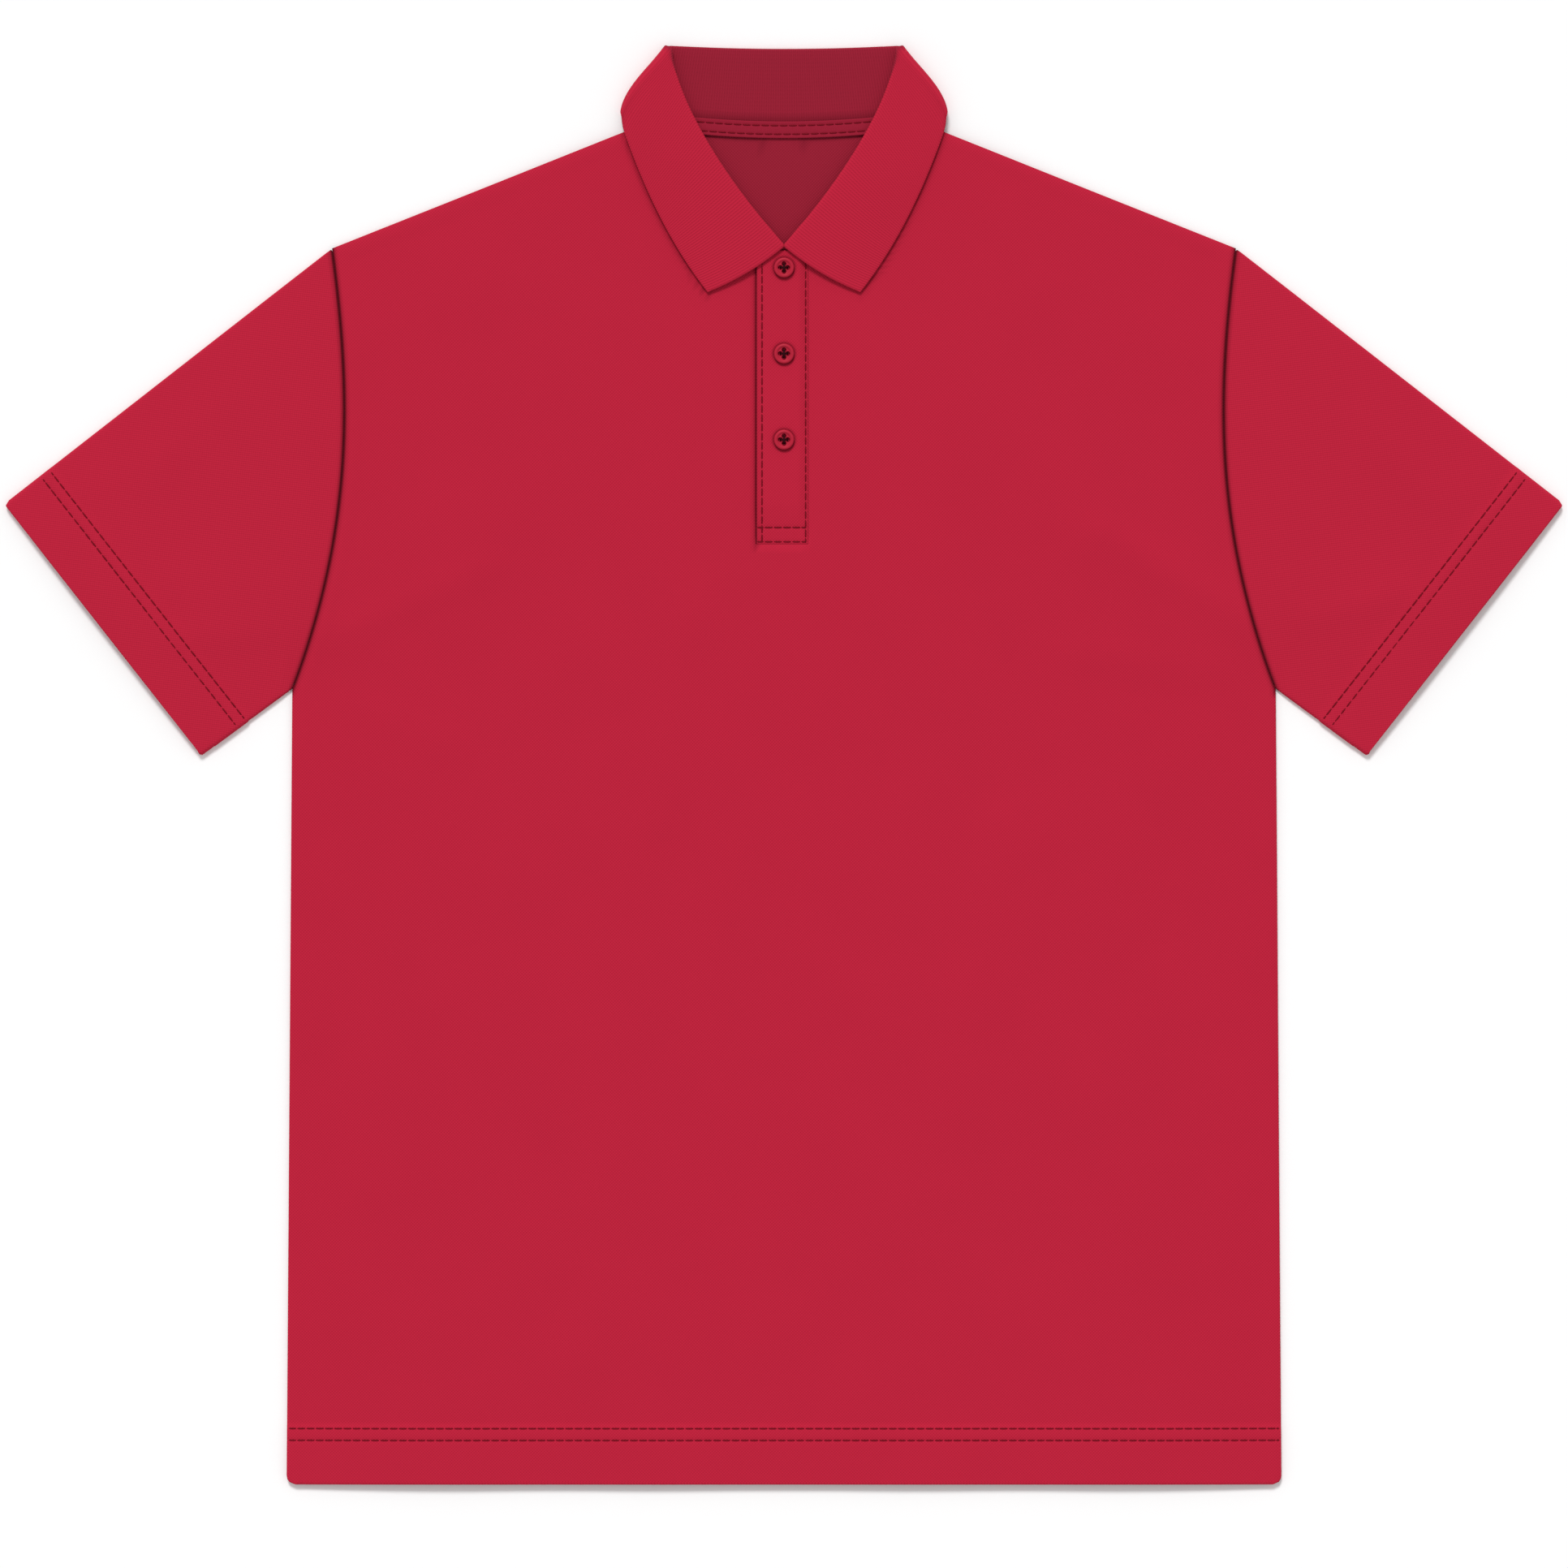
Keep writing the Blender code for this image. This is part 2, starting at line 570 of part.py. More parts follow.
def make_tape(group):
    """The tape over the back neck seam, a level strip along the seam's curve."""
    x = np.linspace(-TAPE_HALF_LENGTH, TAPE_HALF_LENGTH, 17)
    across = np.linspace(-TAPE_WIDTH / 2, TAPE_WIDTH / 2, 3)
    grid_y = back_neck_y(x)[None, :] + across[:, None]
    grid_x = np.broadcast_to(x, grid_y.shape)
    grid = np.stack([grid_x, grid_y, np.full(grid_y.shape, TAPE_Z)], -1)
    item = new_object("neck_tape", grid.reshape(-1, 3), grid_faces(*grid_y.shape), group, "tape")
    add_wall(item, TAPE)
    return item


def make_button(name, y, group, cutters):
    """A turned disc with a raised rim and four holes in a plus."""
    foot = front_mid(0.0, y) + BAND_RISE + CLOTH / 2 + GAP
    points = [(radius, 0.0, high) for radius, high in BUTTON_PROFILE]
    mesh = bpy.data.meshes.new(name)
    edges = [(i, i + 1) for i in range(len(points) - 1)]
    mesh.from_pydata((np.array(points) * MM).tolist(), edges, [])
    mesh.materials.append(make_material(name, *COLOURS["button"]))
    item = bpy.data.objects.new(name, mesh)
    item.location = (0.0, y * MM, float(foot) * MM)
    group.objects.link(item)
    turn = item.modifiers.new("turn", "SCREW")
    turn.steps = turn.render_steps = 18
    turn.use_merge_vertices = True
    turn.merge_threshold = 0.00005
    turn.use_smooth_shade = False
    for index, angle in enumerate((0.0, pi / 2, pi, 3 * pi / 2)):
        offset = (HOLE_OFFSET * np.cos(angle) * MM, HOLE_OFFSET * np.sin(angle) * MM)
        size = {"radius": HOLE_RADIUS * MM, "depth": DRILL_LENGTH * MM}
        bpy.ops.mesh.primitive_cylinder_add(vertices=8, **size)
        drill = bpy.context.object
        drill.name = f"{name}_hole_{index + 1}"
        drill.location = (offset[0], y * MM + offset[1], float(foot) * MM)
        drill.hide_render = True
        drill.display_type = "WIRE"
        for holder in list(drill.users_collection):
            holder.objects.unlink(drill)
        cutters.objects.link(drill)
        cut = item.modifiers.new("hole", "BOOLEAN")
        cut.operation = "DIFFERENCE"
        cut.solver = "EXACT"
        cut.object = drill
    return item


def main():
    clear_scene()
    group = new_collection("golf_shirt")
    cutters = new_collection("cutters")
    make_back(group)
    make_front(group)
    make_sleeve("sleeve_left", 1.0, group)
    make_sleeve("sleeve_right", -1.0, group)
    make_collar(group)
    make_placket(group)
    make_tape(group)
    for number in range(BUTTON_COUNT):
        make_button(f"button_{number + 1}", BUTTON_TOP_Y - number * BUTTON_SPACING, group, cutters)


main()
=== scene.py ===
"""Golf shirt, buttoned and laid flat: its cloth, sewing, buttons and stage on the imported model.

Sizes inside the functions are millimetres, +X to the wearer's left sleeve, +Y to the collar and +Z up
from the surface; every mesh is scaled to metres as it is made. The curves and heights of the cloth
repeat those of the part's source, so each piece lies where its solid is.
"""
import json
from math import pi, radians

import bpy
import numpy as np
from bpy.props import FloatProperty, FloatVectorProperty, IntProperty, PointerProperty
from bpy.types import Operator, Panel, PropertyGroup
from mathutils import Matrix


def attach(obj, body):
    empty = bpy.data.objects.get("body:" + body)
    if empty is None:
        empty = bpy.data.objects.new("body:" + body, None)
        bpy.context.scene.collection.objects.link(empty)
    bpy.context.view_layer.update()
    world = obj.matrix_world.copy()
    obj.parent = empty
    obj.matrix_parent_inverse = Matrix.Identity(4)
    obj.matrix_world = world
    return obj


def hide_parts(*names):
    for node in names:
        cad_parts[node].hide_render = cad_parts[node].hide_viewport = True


bl_info = {
    "name": "Golf Shirt Laid Flat",
    "version": (1, 0, 0),
    "blender": (4, 5, 0),
    "location": "3D View > Sidebar > Golf Shirt",
    "description": "Makes the cloth, sewing, buttons and stage of a golf shirt on its packed model",
    "category": "Object",
}

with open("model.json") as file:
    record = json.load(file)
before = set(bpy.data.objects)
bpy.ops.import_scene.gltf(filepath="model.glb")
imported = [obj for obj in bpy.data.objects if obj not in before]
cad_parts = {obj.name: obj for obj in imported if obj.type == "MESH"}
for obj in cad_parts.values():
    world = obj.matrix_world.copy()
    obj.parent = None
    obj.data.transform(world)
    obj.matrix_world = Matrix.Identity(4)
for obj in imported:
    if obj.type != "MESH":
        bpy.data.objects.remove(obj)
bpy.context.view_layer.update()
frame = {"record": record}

MM = 0.001

# Cloth
CLOTH, RIB, TAPE, GAP = 1.2, 1.5, 1.0, 0.3
HEM_EXTRA, HEM_STEP = 0.5, 2.5

# Body
HEM_Y, HEM_DEPTH, HEM_CORNER, HALF_HEM = -408.9, 32.0, 5.0, 282.7
UNDERARM, SHOULDER, NECK = (279.5, 43.1), (256.9, 293.6), (75.0, 366.0)
SHOULDER_SEAM, SIDE_SEAM = (NECK, SHOULDER), (UNDERARM, (HALF_HEM, HEM_Y))
FRONT_NECK_Y, BACK_NECK_Y = 292.6, 360.8
ARMHOLE_PULL = ((244.7, 133.3), (245.4, 209.9))

# Sleeves
CUFF_TOP, CUFF_BOTTOM, SLEEVE_LENGTH, SLEEVE_CUT = (443.2, 148.3), (331.1, 5.3), 236.0, (0.503, 0.236)
CUFF_DEPTH, CUFF_CORNER, CUFF_LIFT, SLEEVE_LIFT, SLEEVE_ROLL = 32.2, 1.2, 0.1, 0.01, 0.8

# Placket
BAND_LEFT, BAND_RIGHT, BAND_BOTTOM = -15.7, 13.7, 125.5
BAND_RISE, BAND_SLOPE, BAND_FLAT, FOOT_SLOPE = CLOTH + GAP, 6.2, 0.8, 24.0
UNDER_RIGHT, UNDER_BOTTOM, UNDER_SINK, UNDER_SLOPE = 8.5, 131.8, 1.0, (134.0, 152.0)

# Buttons
BUTTON_TOP_Y, BUTTON_SPACING, BUTTON_COUNT = 282.5, 48.9, 3
BUTTON_RADIUS, HOLE_OFFSET = 5.7, 2.1
BUTTON_YS = [BUTTON_TOP_Y - number * BUTTON_SPACING for number in range(BUTTON_COUNT)]

# Collar
ROLL_RADIUS, LEAF_Z = 1.0, RIB / 2 + 0.04
BACK_STAND_Z = LEAF_Z + 2 * ROLL_RADIUS
SEAM_RISE, CLOSED_RISE, STAND_RISE = 0.45, 1.3, 1.75
LEAF_RISE, LEAF_EDGE_RISE = STAND_RISE + 2 * ROLL_RADIUS, 2.2
ROLL_CURVE = ((0.15, 294.0), (27.8, 322.5), (64.0, 376.0), (64.6, 405.6))
LEAF_CURVE = ((43.4, 268.4), (65.6, 296.7), (79.8, 327.8), (91.7, 361.6))
CREASE_SEAM, CREASE_ROLL, CREASE_EDGE = (73.6, 367.2), (64.6, 405.6), (92.3, 367.9)
BACK_ROLL_Y, BACK_ROLL_DIP = 405.3, 1.8
BACK_LEAF_CURVE = (CREASE_EDGE, (84.0, 353.5), (40.0, 357.5), (0.0, 357.5))
LEAF_SIDE_BOW, LEAF_FOOT_TUCK, LEAF_FOOT_SLANT, LEAF_FRONT_BOW = 2.2, 0.45, 2.0, 2.0

# Neck tape
TAPE_WIDTH, TAPE_HALF_LENGTH = 9.6, 56.0
TAPE_Z = BACK_STAND_Z + (RIB + TAPE) / 2 + GAP

# Heights of the panels
LIFT, LIFT_SIDE, LIFT_FOOT = 2.0, (97.0, 190.0), (270.0, 352.0)
FULLNESS, FULL_WITHIN, NECK_CALM, NECK_MIDDLE_Y = 1.7, 70.0, (60.0, 170.0), 335.0

# Soft ridges, the same on both sides, and slight creases of the front layer, uneven from side to side
RIDGES = (
    # x0, y0, x1, y1, half width, height
    (270.0, 60.0, 150.0, 150.0, 30.0, 0.7),
    (262.0, 40.0, 170.0, -60.0, 34.0, 0.6),
    (90.0, 80.0, 120.0, -160.0, 42.0, 0.5),
    (210.0, -150.0, 190.0, -400.0, 38.0, 0.6),
    (60.0, -230.0, 75.0, -405.0, 36.0, 0.5),
    (300.0, 90.0, 380.0, 110.0, 26.0, 0.5),
)
CREASES = (
    (262.0, 80.0, 182.0, 132.0, 10.0, 0.75),
    (256.0, 50.0, 164.0, 64.0, 11.0, 0.6),
    (-258.0, 72.0, -170.0, 112.0, 10.0, 0.7),
    (-252.0, 36.0, -188.0, 12.0, 12.0, 0.55),
    (120.0, -36.0, 94.0, -240.0, 15.0, 0.65),
    (-84.0, -118.0, -114.0, -330.0, 16.0, 0.65),
    (34.0, 58.0, 56.0, -84.0, 14.0, 0.5),
    (-176.0, -170.0, -162.0, -350.0, 14.0, 0.5),
    (208.0, -226.0, 214.0, -378.0, 13.0, 0.5),
    (-52.0, 84.0, -70.0, -30.0, 13.0, 0.45),
    (300.0, 82.0, 354.0, 98.0, 9.0, 0.6),
    (-296.0, 74.0, -346.0, 72.0, 9.0, 0.6),
    (326.0, 196.0, 374.0, 150.0, 11.0, 0.5),
    (-320.0, 204.0, -362.0, 166.0, 11.0, 0.5),
)

# Sewing: where its rows run, where their first stitches start, and how far they pull the cloth in
BODY_ROWS, CUFF_ROWS, TAPE_ROWS = (-383.7, -377.0), (26.1, 32.2), (-2.45, 2.45)
PLACKET_COLUMNS, PLACKET_ROWS = (-12.5, 12.3), (126.8, 134.9)
HEM_PHASE, COLUMN_PHASES, BOX_PHASE, TAPE_PHASES = 4.63, (0.0, 2.83), 4.16, (2.9, 1.03)
ROW_MARGIN, CUFF_MARGIN, BOX_MARGIN, SHORTEST_STITCH = 1.2, 2.4, 0.4, 1.2
PINCH, PINCH_WIDTH, BAND_PINCH, TAPE_PINCH, TAPE_PINCH_WIDTH = 0.3, 1.1, 0.24, 0.2, 0.8
SEAM_DIP, SEAM_WIDTH = 0.25, 1.7
ALLOWANCE, ALLOWANCE_START, ALLOWANCE_END, SIDE_EASE = 0.22, (1.2, 3.2), (8.0, 10.2), 0.8

# Painted shade along the seams, beside an edge that lies on the front, and round a button
SEAM_SHADE_WIDTH, EDGE_SHADE, EDGE_SHADE_WIDTH, BUTTON_SHADE = 1.5, 0.45, 1.8, 0.7

# Places of the grid's lines beside a row of stitches
BESIDE_ROW = np.array([-2.4, -1.6, -0.8, 0.0, 0.8, 1.6, 2.4])
BESIDE_COLUMN = np.array([-1.0, -0.35, 0.35, 1.0, 1.7])

RIM_STEPS, RIM_ROOM = 6, 0.7        # steps round a rim, and its share of the room beside it
SEWN_REACH, SEWN_GAP = 0.1, 0.03    # rim at the placket's sewn edges, and gap at sewn edges
UNDERARM_EASE = 0.3                 # how far the sleeve stands off at its underarm corner
SLOT_Y, SLOT_RIGHT, SLOT_LEFT = BAND_BOTTOM - SEWN_GAP, BAND_RIGHT + SEWN_GAP, -BAND_LEFT + GAP


# ---------------------------------------------------------------- settings

def slot_colour(name):
    """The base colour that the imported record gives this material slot."""
    return next(m["base_color"] for m in frame["record"]["materials"] if m["slot"] == name)


def colour_setting(name, description, default):
    """A setting that holds a colour."""
    return FloatVectorProperty(
        name=name, description=description, subtype="COLOR", size=3, min=0.0, max=1.0, default=default)


def number_setting(name, description, low, high, default, unit="NONE"):
    """A setting that holds a number, kept between low and high."""
    return FloatProperty(
        name=name, description=description, unit=unit, min=low, max=high, default=default)


def length_setting(*what):
    """A setting that holds a length in metres."""
    return number_setting(*what, unit="LENGTH")


class GolfShirtCloth(PropertyGroup):
    """Colours and texture of the knit, rib and tape"""

    knit: colour_setting("Knit", "Colour of the knit's right side", slot_colour("knit"))
    # The inside colour is the knit darkened: painted shade for the cloth seen inside the neck
    inside: colour_setting("Inside", "Colour of the cloth seen inside the neck", (0.305, 0.014, 0.034))
    rib: colour_setting("Rib", "Colour of the collar's rib", slot_colour("rib"))
    tape: colour_setting("Tape", "Colour of the neck tape", (0.31, 0.0135, 0.0345))
    cell: length_setting("Knit Cell", "Width of one cell of the pique knit", 0.0008, 0.004, 0.0017)
    rib_pitch: length_setting("Rib Pitch", "Distance between two ribs of the collar", 0.0008, 0.004, 0.0015)
    relief: length_setting("Relief", "Depth of the knit's cells", 0.0, 0.001, 0.00022)


class GolfShirtSewing(PropertyGroup):
    """Thread and stitches"""

    thread: colour_setting("Thread", "Colour of the sewing thread", (0.18, 0.003, 0.011))
    length: length_setting("Stitch Length", "Length of one visible stitch", 0.001, 0.01, 0.0048)
    pitch: length_setting(
        "Stitch Pitch", "Distance from one stitch to the next", 0.0015, 0.012, 0.00525)
    thickness: length_setting("Thread Thickness", "Diameter of the thread", 0.0002, 0.002, 0.0008)


class GolfShirtButtons(PropertyGroup):
    """Look and fineness of the buttons"""

    resin: colour_setting("Resin", "Colour of the buttons", slot_colour("button"))
    thread: colour_setting("Thread", "Colour of the thread that holds the buttons", (0.035, 0.002, 0.005))
    segments: IntProperty(
        name="Segments", description="Sides of the turned button", min=24, max=96, default=56)


class GolfShirtStage(PropertyGroup):
    """Floor, light and camera"""

    floor: colour_setting("Floor", "Colour of the surface under the shirt", (0.97, 0.97, 0.97))
    daylight: number_setting("Daylight", "Strength of the light from all round", 0.0, 4.0, 0.6)
    key: number_setting(
        "Key Light", "Strength of the soft light from above the collar", 0.0, 10.0, 1.88)
    lens: number_setting(
        "Lens", "Focal length in millimetres of film, long for a flat view", 50.0, 400.0, 200.0)
    view_width: length_setting("View Width", "Width of the picture on the shirt", 0.5, 2.0, 0.8911)


# ---------------------------------------------------------------- curves and heights

def smooth(low, high, value):
    """0 below low, 1 above high, and the soft S of 3t^2 - 2t^3 between them."""
    t = np.clip((value - low) / (high - low), 0.0, 1.0)
    return t * t * (3.0 - 2.0 * t)


def mix(start, end, share):
    """The points a share of the way from start to end, for arrays of points and shares."""
    return start + (end - start) * np.asarray(share)[..., None]


def bezier(p0, p1, p2, p3, t):
    """Points of a cubic curve: its four points weighed by the third powers of t and 1 - t."""
    t = np.asarray(t, float)[:, None]
    p0, p1, p2, p3 = (np.array(p, float) for p in (p0, p1, p2, p3))
    return (1 - t) ** 3 * p0 + 3 * (1 - t) ** 2 * t * p1 + 3 * (1 - t) * t * t * p2 + t ** 3 * p3


def unit(vectors):
    """Vectors divided by their lengths."""
    return vectors / np.maximum(np.linalg.norm(vectors, axis=-1, keepdims=True), 1e-12)


def quarter_turn(vectors):
    """Plan vectors turned a right angle to the left."""
    return np.stack([-vectors[..., 1], vectors[..., 0]], -1)


def bump(value, width):
    """A soft ridge across value = 0: e to the power of minus its square."""
    return np.exp(-(value / width) ** 2)


def pulls(value, rows, width=PINCH_WIDTH):
    """Sum of the soft ridges across the values of several rows."""
    return sum(bump(value - row, width) for row in rows)


def distance(x, y, start, end):
    """How far points are from a straight line between two points."""
    ax, ay = end[0] - start[0], end[1] - start[1]
    along = np.clip(((x - start[0]) * ax + (y - start[1]) * ay) / (ax * ax + ay * ay), 0.0, 1.0)
    return np.hypot(x - start[0] - along * ax, y - start[1] - along * ay)


def line_distance(x, y, line):
    """How far points are from a bent line: the least of the distances to its straight pieces."""
    return np.min([distance(x, y, start, end) for start, end in zip(line[:-1], line[1:])], axis=0)


def armhole(t):
    """The armhole seam, from the underarm (t = 0) to the shoulder (t = 1)."""
    return bezier(UNDERARM, *ARMHOLE_PULL, SHOULDER, t)


def armhole_distance(x, y):
    """How far points are from the armhole seam of their side."""
    return line_distance(np.abs(x), y, armhole(np.linspace(0.0, 1.0, 40)))


def front_neck(angle):
    """The front neck seam, a quarter ellipse: 0 at the centre front, a right angle at the shoulder."""
    return np.stack([NECK[0] * np.sin(angle), NECK[1] - (NECK[1] - FRONT_NECK_Y) * np.cos(angle)], -1)


def back_neck_y(x):
    """Height in the picture of the back neck seam, a shallow dip between the shoulders."""
    return BACK_NECK_Y + (NECK[1] - BACK_NECK_Y) * (x / NECK[0]) ** 2


def leaf_edge(q):
    """Outer edge of the collar's leaf, from the closed front (q = 0) to its side crease (q = 1)."""
    curve = bezier(*LEAF_CURVE, np.clip(q / 0.94, 0.0, 1.0))
    return mix(curve, np.array(CREASE_EDGE), smooth(0.9, 1.0, q))


def ridges(x, y, lines):
    """Sum of ridges: each is its height times e to the power of minus the square of a point's distance
    from the ridge's line, in half widths."""
    return sum(
        high * bump(distance(x, y, (x0, y0), (x1, y1)), width) for x0, y0, x1, y1, width, high in lines)


def fullness(x, y):
    """Height of the front over its flat place: none at the seamed edges, and a few soft ridges."""
    height = FULLNESS + ridges(x, y, CREASES) + ridges(np.abs(x), y, RIDGES)
    share = smooth(*NECK_CALM, np.hypot(x, y - NECK_MIDDLE_Y))
    for edge in (SHOULDER_SEAM, (SHOULDER, CUFF_TOP), (CUFF_BOTTOM, UNDERARM), SIDE_SEAM):
        near = np.clip(distance(np.abs(x), y, *edge) / FULL_WITHIN, 0.0, 1.0)
        share = share * (1.0 - (1.0 - near) ** 2)
    return share * height


CUFF_RUN = unit(np.subtract(CUFF_BOTTOM, CUFF_TOP))


def inside_cuff(x, y):
    """Distance from the cuff's edge, inwards, on either sleeve."""
    return (np.abs(x) - CUFF_TOP[0]) * CUFF_RUN[1] + (CUFF_TOP[1] - y) * CUFF_RUN[0]


def body_or_sleeve(x, body, sleeve):
    """The body's values where a hem belongs to the body, and else the sleeve's."""
    return np.where(np.abs(x) > HALF_HEM + CUFF_DEPTH / 4, sleeve, body)


def hem(x, y):
    """1 on the turned-up hems of the body and sleeves, and 0 elsewhere."""
    body = 1.0 - smooth(HEM_Y + HEM_DEPTH, HEM_Y + HEM_DEPTH + HEM_STEP, y)
    return body_or_sleeve(
        x, body, 1.0 - smooth(CUFF_DEPTH, CUFF_DEPTH + HEM_STEP, inside_cuff(x, y)))


def pinch(x, y):
    """How far the hems' stitch rows pull the cloth in."""
    return PINCH * body_or_sleeve(x, pulls(y, BODY_ROWS), pulls(inside_cuff(x, y), CUFF_ROWS))


def wall_of(x, y):
    """Thickness of the knit, thicker on its hems."""
    return CLOTH + HEM_EXTRA * hem(x, y)


def lift(x, y):
    """Rise of both panels over the back leaf of the collar."""
    return LIFT * (1.0 - smooth(*LIFT_SIDE, np.abs(x))) * smooth(*LIFT_FOOT, y)


def back_mid(x, y):
    """Middle of the back layer's wall."""
    return CLOTH / 2 + lift(x, y) + hem(x, y) * HEM_EXTRA / 2


def front_mid(x, y):
    """Middle of the front layer's wall."""
    return CLOTH * 1.5 + GAP + lift(x, y) + fullness(x, y) + hem(x, y) * HEM_EXTRA * 1.5


def back_height(x, y):
    """Middle of the back's wall where its stitches pull it up, off the surface."""
    return back_mid(x, y) + pinch(x, y)


def front_height(x, y):
    """Middle of the front's wall, which sinks to its stitches and the armhole seam, and swells over
    what is turned under beside its seams."""
    near = armhole_distance(x, y)
    side = np.min([distance(np.abs(x), y, *edge) for edge in (SHOULDER_SEAM, SIDE_SEAM)], axis=0)
    near = np.minimum(near, side + SIDE_EASE)
    swell = smooth(*ALLOWANCE_START, near) * (1.0 - smooth(*ALLOWANCE_END, near))
    return front_mid(x, y) - pinch(x, y) + ALLOWANCE * swell - SEAM_DIP * bump(near, SEAM_WIDTH)


def sleeve_height(x, y):
    """Middle of a sleeve's upper layer by its hem."""
    return front_mid(x, y) + SLEEVE_ROLL - pinch(x, y)


def upper_band_height(x, y):
    """Middle of the upper band: over the under band, down level with the front at its seams, and
    pulled in by its stitches."""
    side = 1.0 - smooth(BAND_RIGHT - BAND_SLOPE, BAND_RIGHT - BAND_FLAT, x)
    rise = BAND_RISE * side * smooth(BAND_BOTTOM + BAND_FLAT, BAND_BOTTOM + FOOT_SLOPE, y)
    column = pulls(x, PLACKET_COLUMNS) * (y > PLACKET_ROWS[0] - 0.5)
    row = pulls(y, PLACKET_ROWS) * (x < PLACKET_COLUMNS[1] + 0.5)
    return front_mid(x, y) + rise - BAND_PINCH * np.clip(column + row, 0.0, 1.0)


def under_band_height(x, y):
    """Middle of the under band: in the slot, level with the front, its foot sunk towards the back."""
    return front_mid(x, y) - UNDER_SINK * (1.0 - smooth(*UNDER_SLOPE, y))


def tape_height(x, y):
    """Middle of the neck tape, pulled in by its stitches."""
    return TAPE_Z - TAPE_PINCH * pulls(y - back_neck_y(x), TAPE_ROWS, TAPE_PINCH_WIDTH)


# ---------------------------------------------------------------- meshes

def crossed(across, along):
    """A grid of plan points, with a column for each place across and a row for each place along."""
    return np.stack(np.meshgrid(across, along), -1)


def run_lengths(grid, axis):
    """Distance run along one axis of a grid of points, as the mean of its lines, from 0."""
    steps = np.linalg.norm(np.diff(grid, axis=axis), axis=-1).mean(1 - axis)
    return np.append(0.0, np.cumsum(steps))


def grid_quads(rows, columns, wrap=False):
    """Corner indices of a grid of points stored row by row; wrap joins its last column to its first."""
    index = np.arange(rows * columns).reshape(rows, columns)
    if wrap:
        index = np.concatenate([index, index[:, :1]], 1)
    around = (index[:-1, :-1], index[:-1, 1:], index[1:, 1:], index[1:, :-1])
    return np.stack(around, -1).reshape(-1, 4)


def merged(grids):
    """Points and quads of several grids, with the points at one place made one."""
    points = np.concatenate([grid.reshape(-1, 2) for grid in grids])
    starts = np.cumsum([0] + [grid.shape[0] * grid.shape[1] for grid in grids[:-1]])
    quads = np.concatenate([grid_quads(*grid.shape[:2]) + s for grid, s in zip(grids, starts)])
    _, first, same = np.unique(np.round(points, 3), axis=0, return_index=True, return_inverse=True)
    return points[first], same.reshape(-1)[quads]


def quad_normals(points, quads):
    """Cross product of each quad's diagonals, square to it and twice as long as its area."""
    a, b, c, d = (points[quads[:, corner]] for corner in range(4))
    return np.cross(c - a, d - b)


def point_normals(points, quads):
    """Each point's normal: the sum of those of its quads, made a unit vector."""
    normals, total = quad_normals(points, quads), np.zeros_like(points)
    for corner in range(4):
        np.add.at(total, quads[:, corner], normals)
    return unit(total)


def shell(middle, quads, wall, flat, reach=None):
    """A closed cloth of some thickness round a middle surface, and which face, 0 or 1, each quad is on.

    Both faces are the middle moved along its normals by half the wall. At the open edges the middle
    is drawn in by its reach, and a half ellipse as deep as the reach and as high as the wall is
    carried along them as the rim. The reach is half the wall unless given, and stops short of the
    points beside the rim. flat holds each point's place in the cut, for the UV map.
    """
    count, half = len(middle), np.broadcast_to(np.asarray(wall, float) / 2, len(middle))
    reach = half if reach is None else np.minimum(reach, half)
    normal = point_normals(middle, quads)
    first, second = quads.reshape(-1), np.roll(quads, -1, axis=1).reshape(-1)
    key = np.minimum(first, second) * count + np.maximum(first, second)
    _, which, uses = np.unique(key, return_inverse=True, return_counts=True)
    free = uses[which.reshape(-1)] == 1
    start, end = first[free], second[free]
    across = unit(np.cross(unit(middle[end] - middle[start]), normal[start] + normal[end]))
    outward = np.zeros_like(middle)
    np.add.at(outward, start, across)
    np.add.at(outward, end, across)
    outward = unit(outward)

    rim = np.unique(start)
    on_rim = np.isin(np.arange(count), rim)
    room, beside = np.full(count, np.inf), np.arange(count)
    for here, there in ((first, second), (second, first)):
        depth = ((middle[here] - middle[there]) * outward[here]).sum(-1)
        inward = on_rim[here] & ~on_rim[there]
        np.minimum.at(room, here[inward], depth[inward])
        inward &= depth <= room[here]
        beside[here[inward]] = there[inward]
    for here, there in ((start, end), (end, start)):
        corner = np.isinf(room[here])
        room[here[corner]] = room[there[corner]]
    reach = np.minimum(reach, RIM_ROOM * room)
    flat = mix(flat, flat[beside], reach / room)
    middle = middle - outward * reach[:, None]

    layers = [middle + normal * half[:, None], middle - normal * half[:, None]]
    place = np.zeros(count, int)
    place[rim] = np.arange(len(rim))
    bases = [2 * count + step * len(rim) for step in range(RIM_STEPS - 1)]
    for angle in pi * np.arange(1, RIM_STEPS) / RIM_STEPS:
        rise, bulge = half[rim, None] * np.cos(angle), reach[rim, None] * np.sin(angle)
        layers.append(middle[rim] + normal[rim] * rise + outward[rim] * bulge)
    rings = [start, *(base + place[start] for base in bases), count + start]
    after = [end, *(base + place[end] for base in bases), count + end]
    strips = [np.stack([after[k], rings[k], rings[k + 1], after[k + 1]], -1) for k in range(RIM_STEPS)]
    faces = np.concatenate([quads, quads[:, ::-1] + count, *strips])
    face_side = np.zeros(len(faces), int)
    face_side[len(quads):2 * len(quads)] = 1
    return np.concatenate(layers), faces, face_side, over_shell(flat, rim), rim


def over_shell(values, rim):
    """Values of the middle's points, repeated for both faces and the rim of its shell."""
    return np.concatenate([values, values] + [values[rim]] * (RIM_STEPS - 1))


def placed(name, data):
    """A new object in the scene that shows this data."""
    item = bpy.data.objects.new(name, data)
    bpy.context.scene.collection.objects.link(item)
    return item


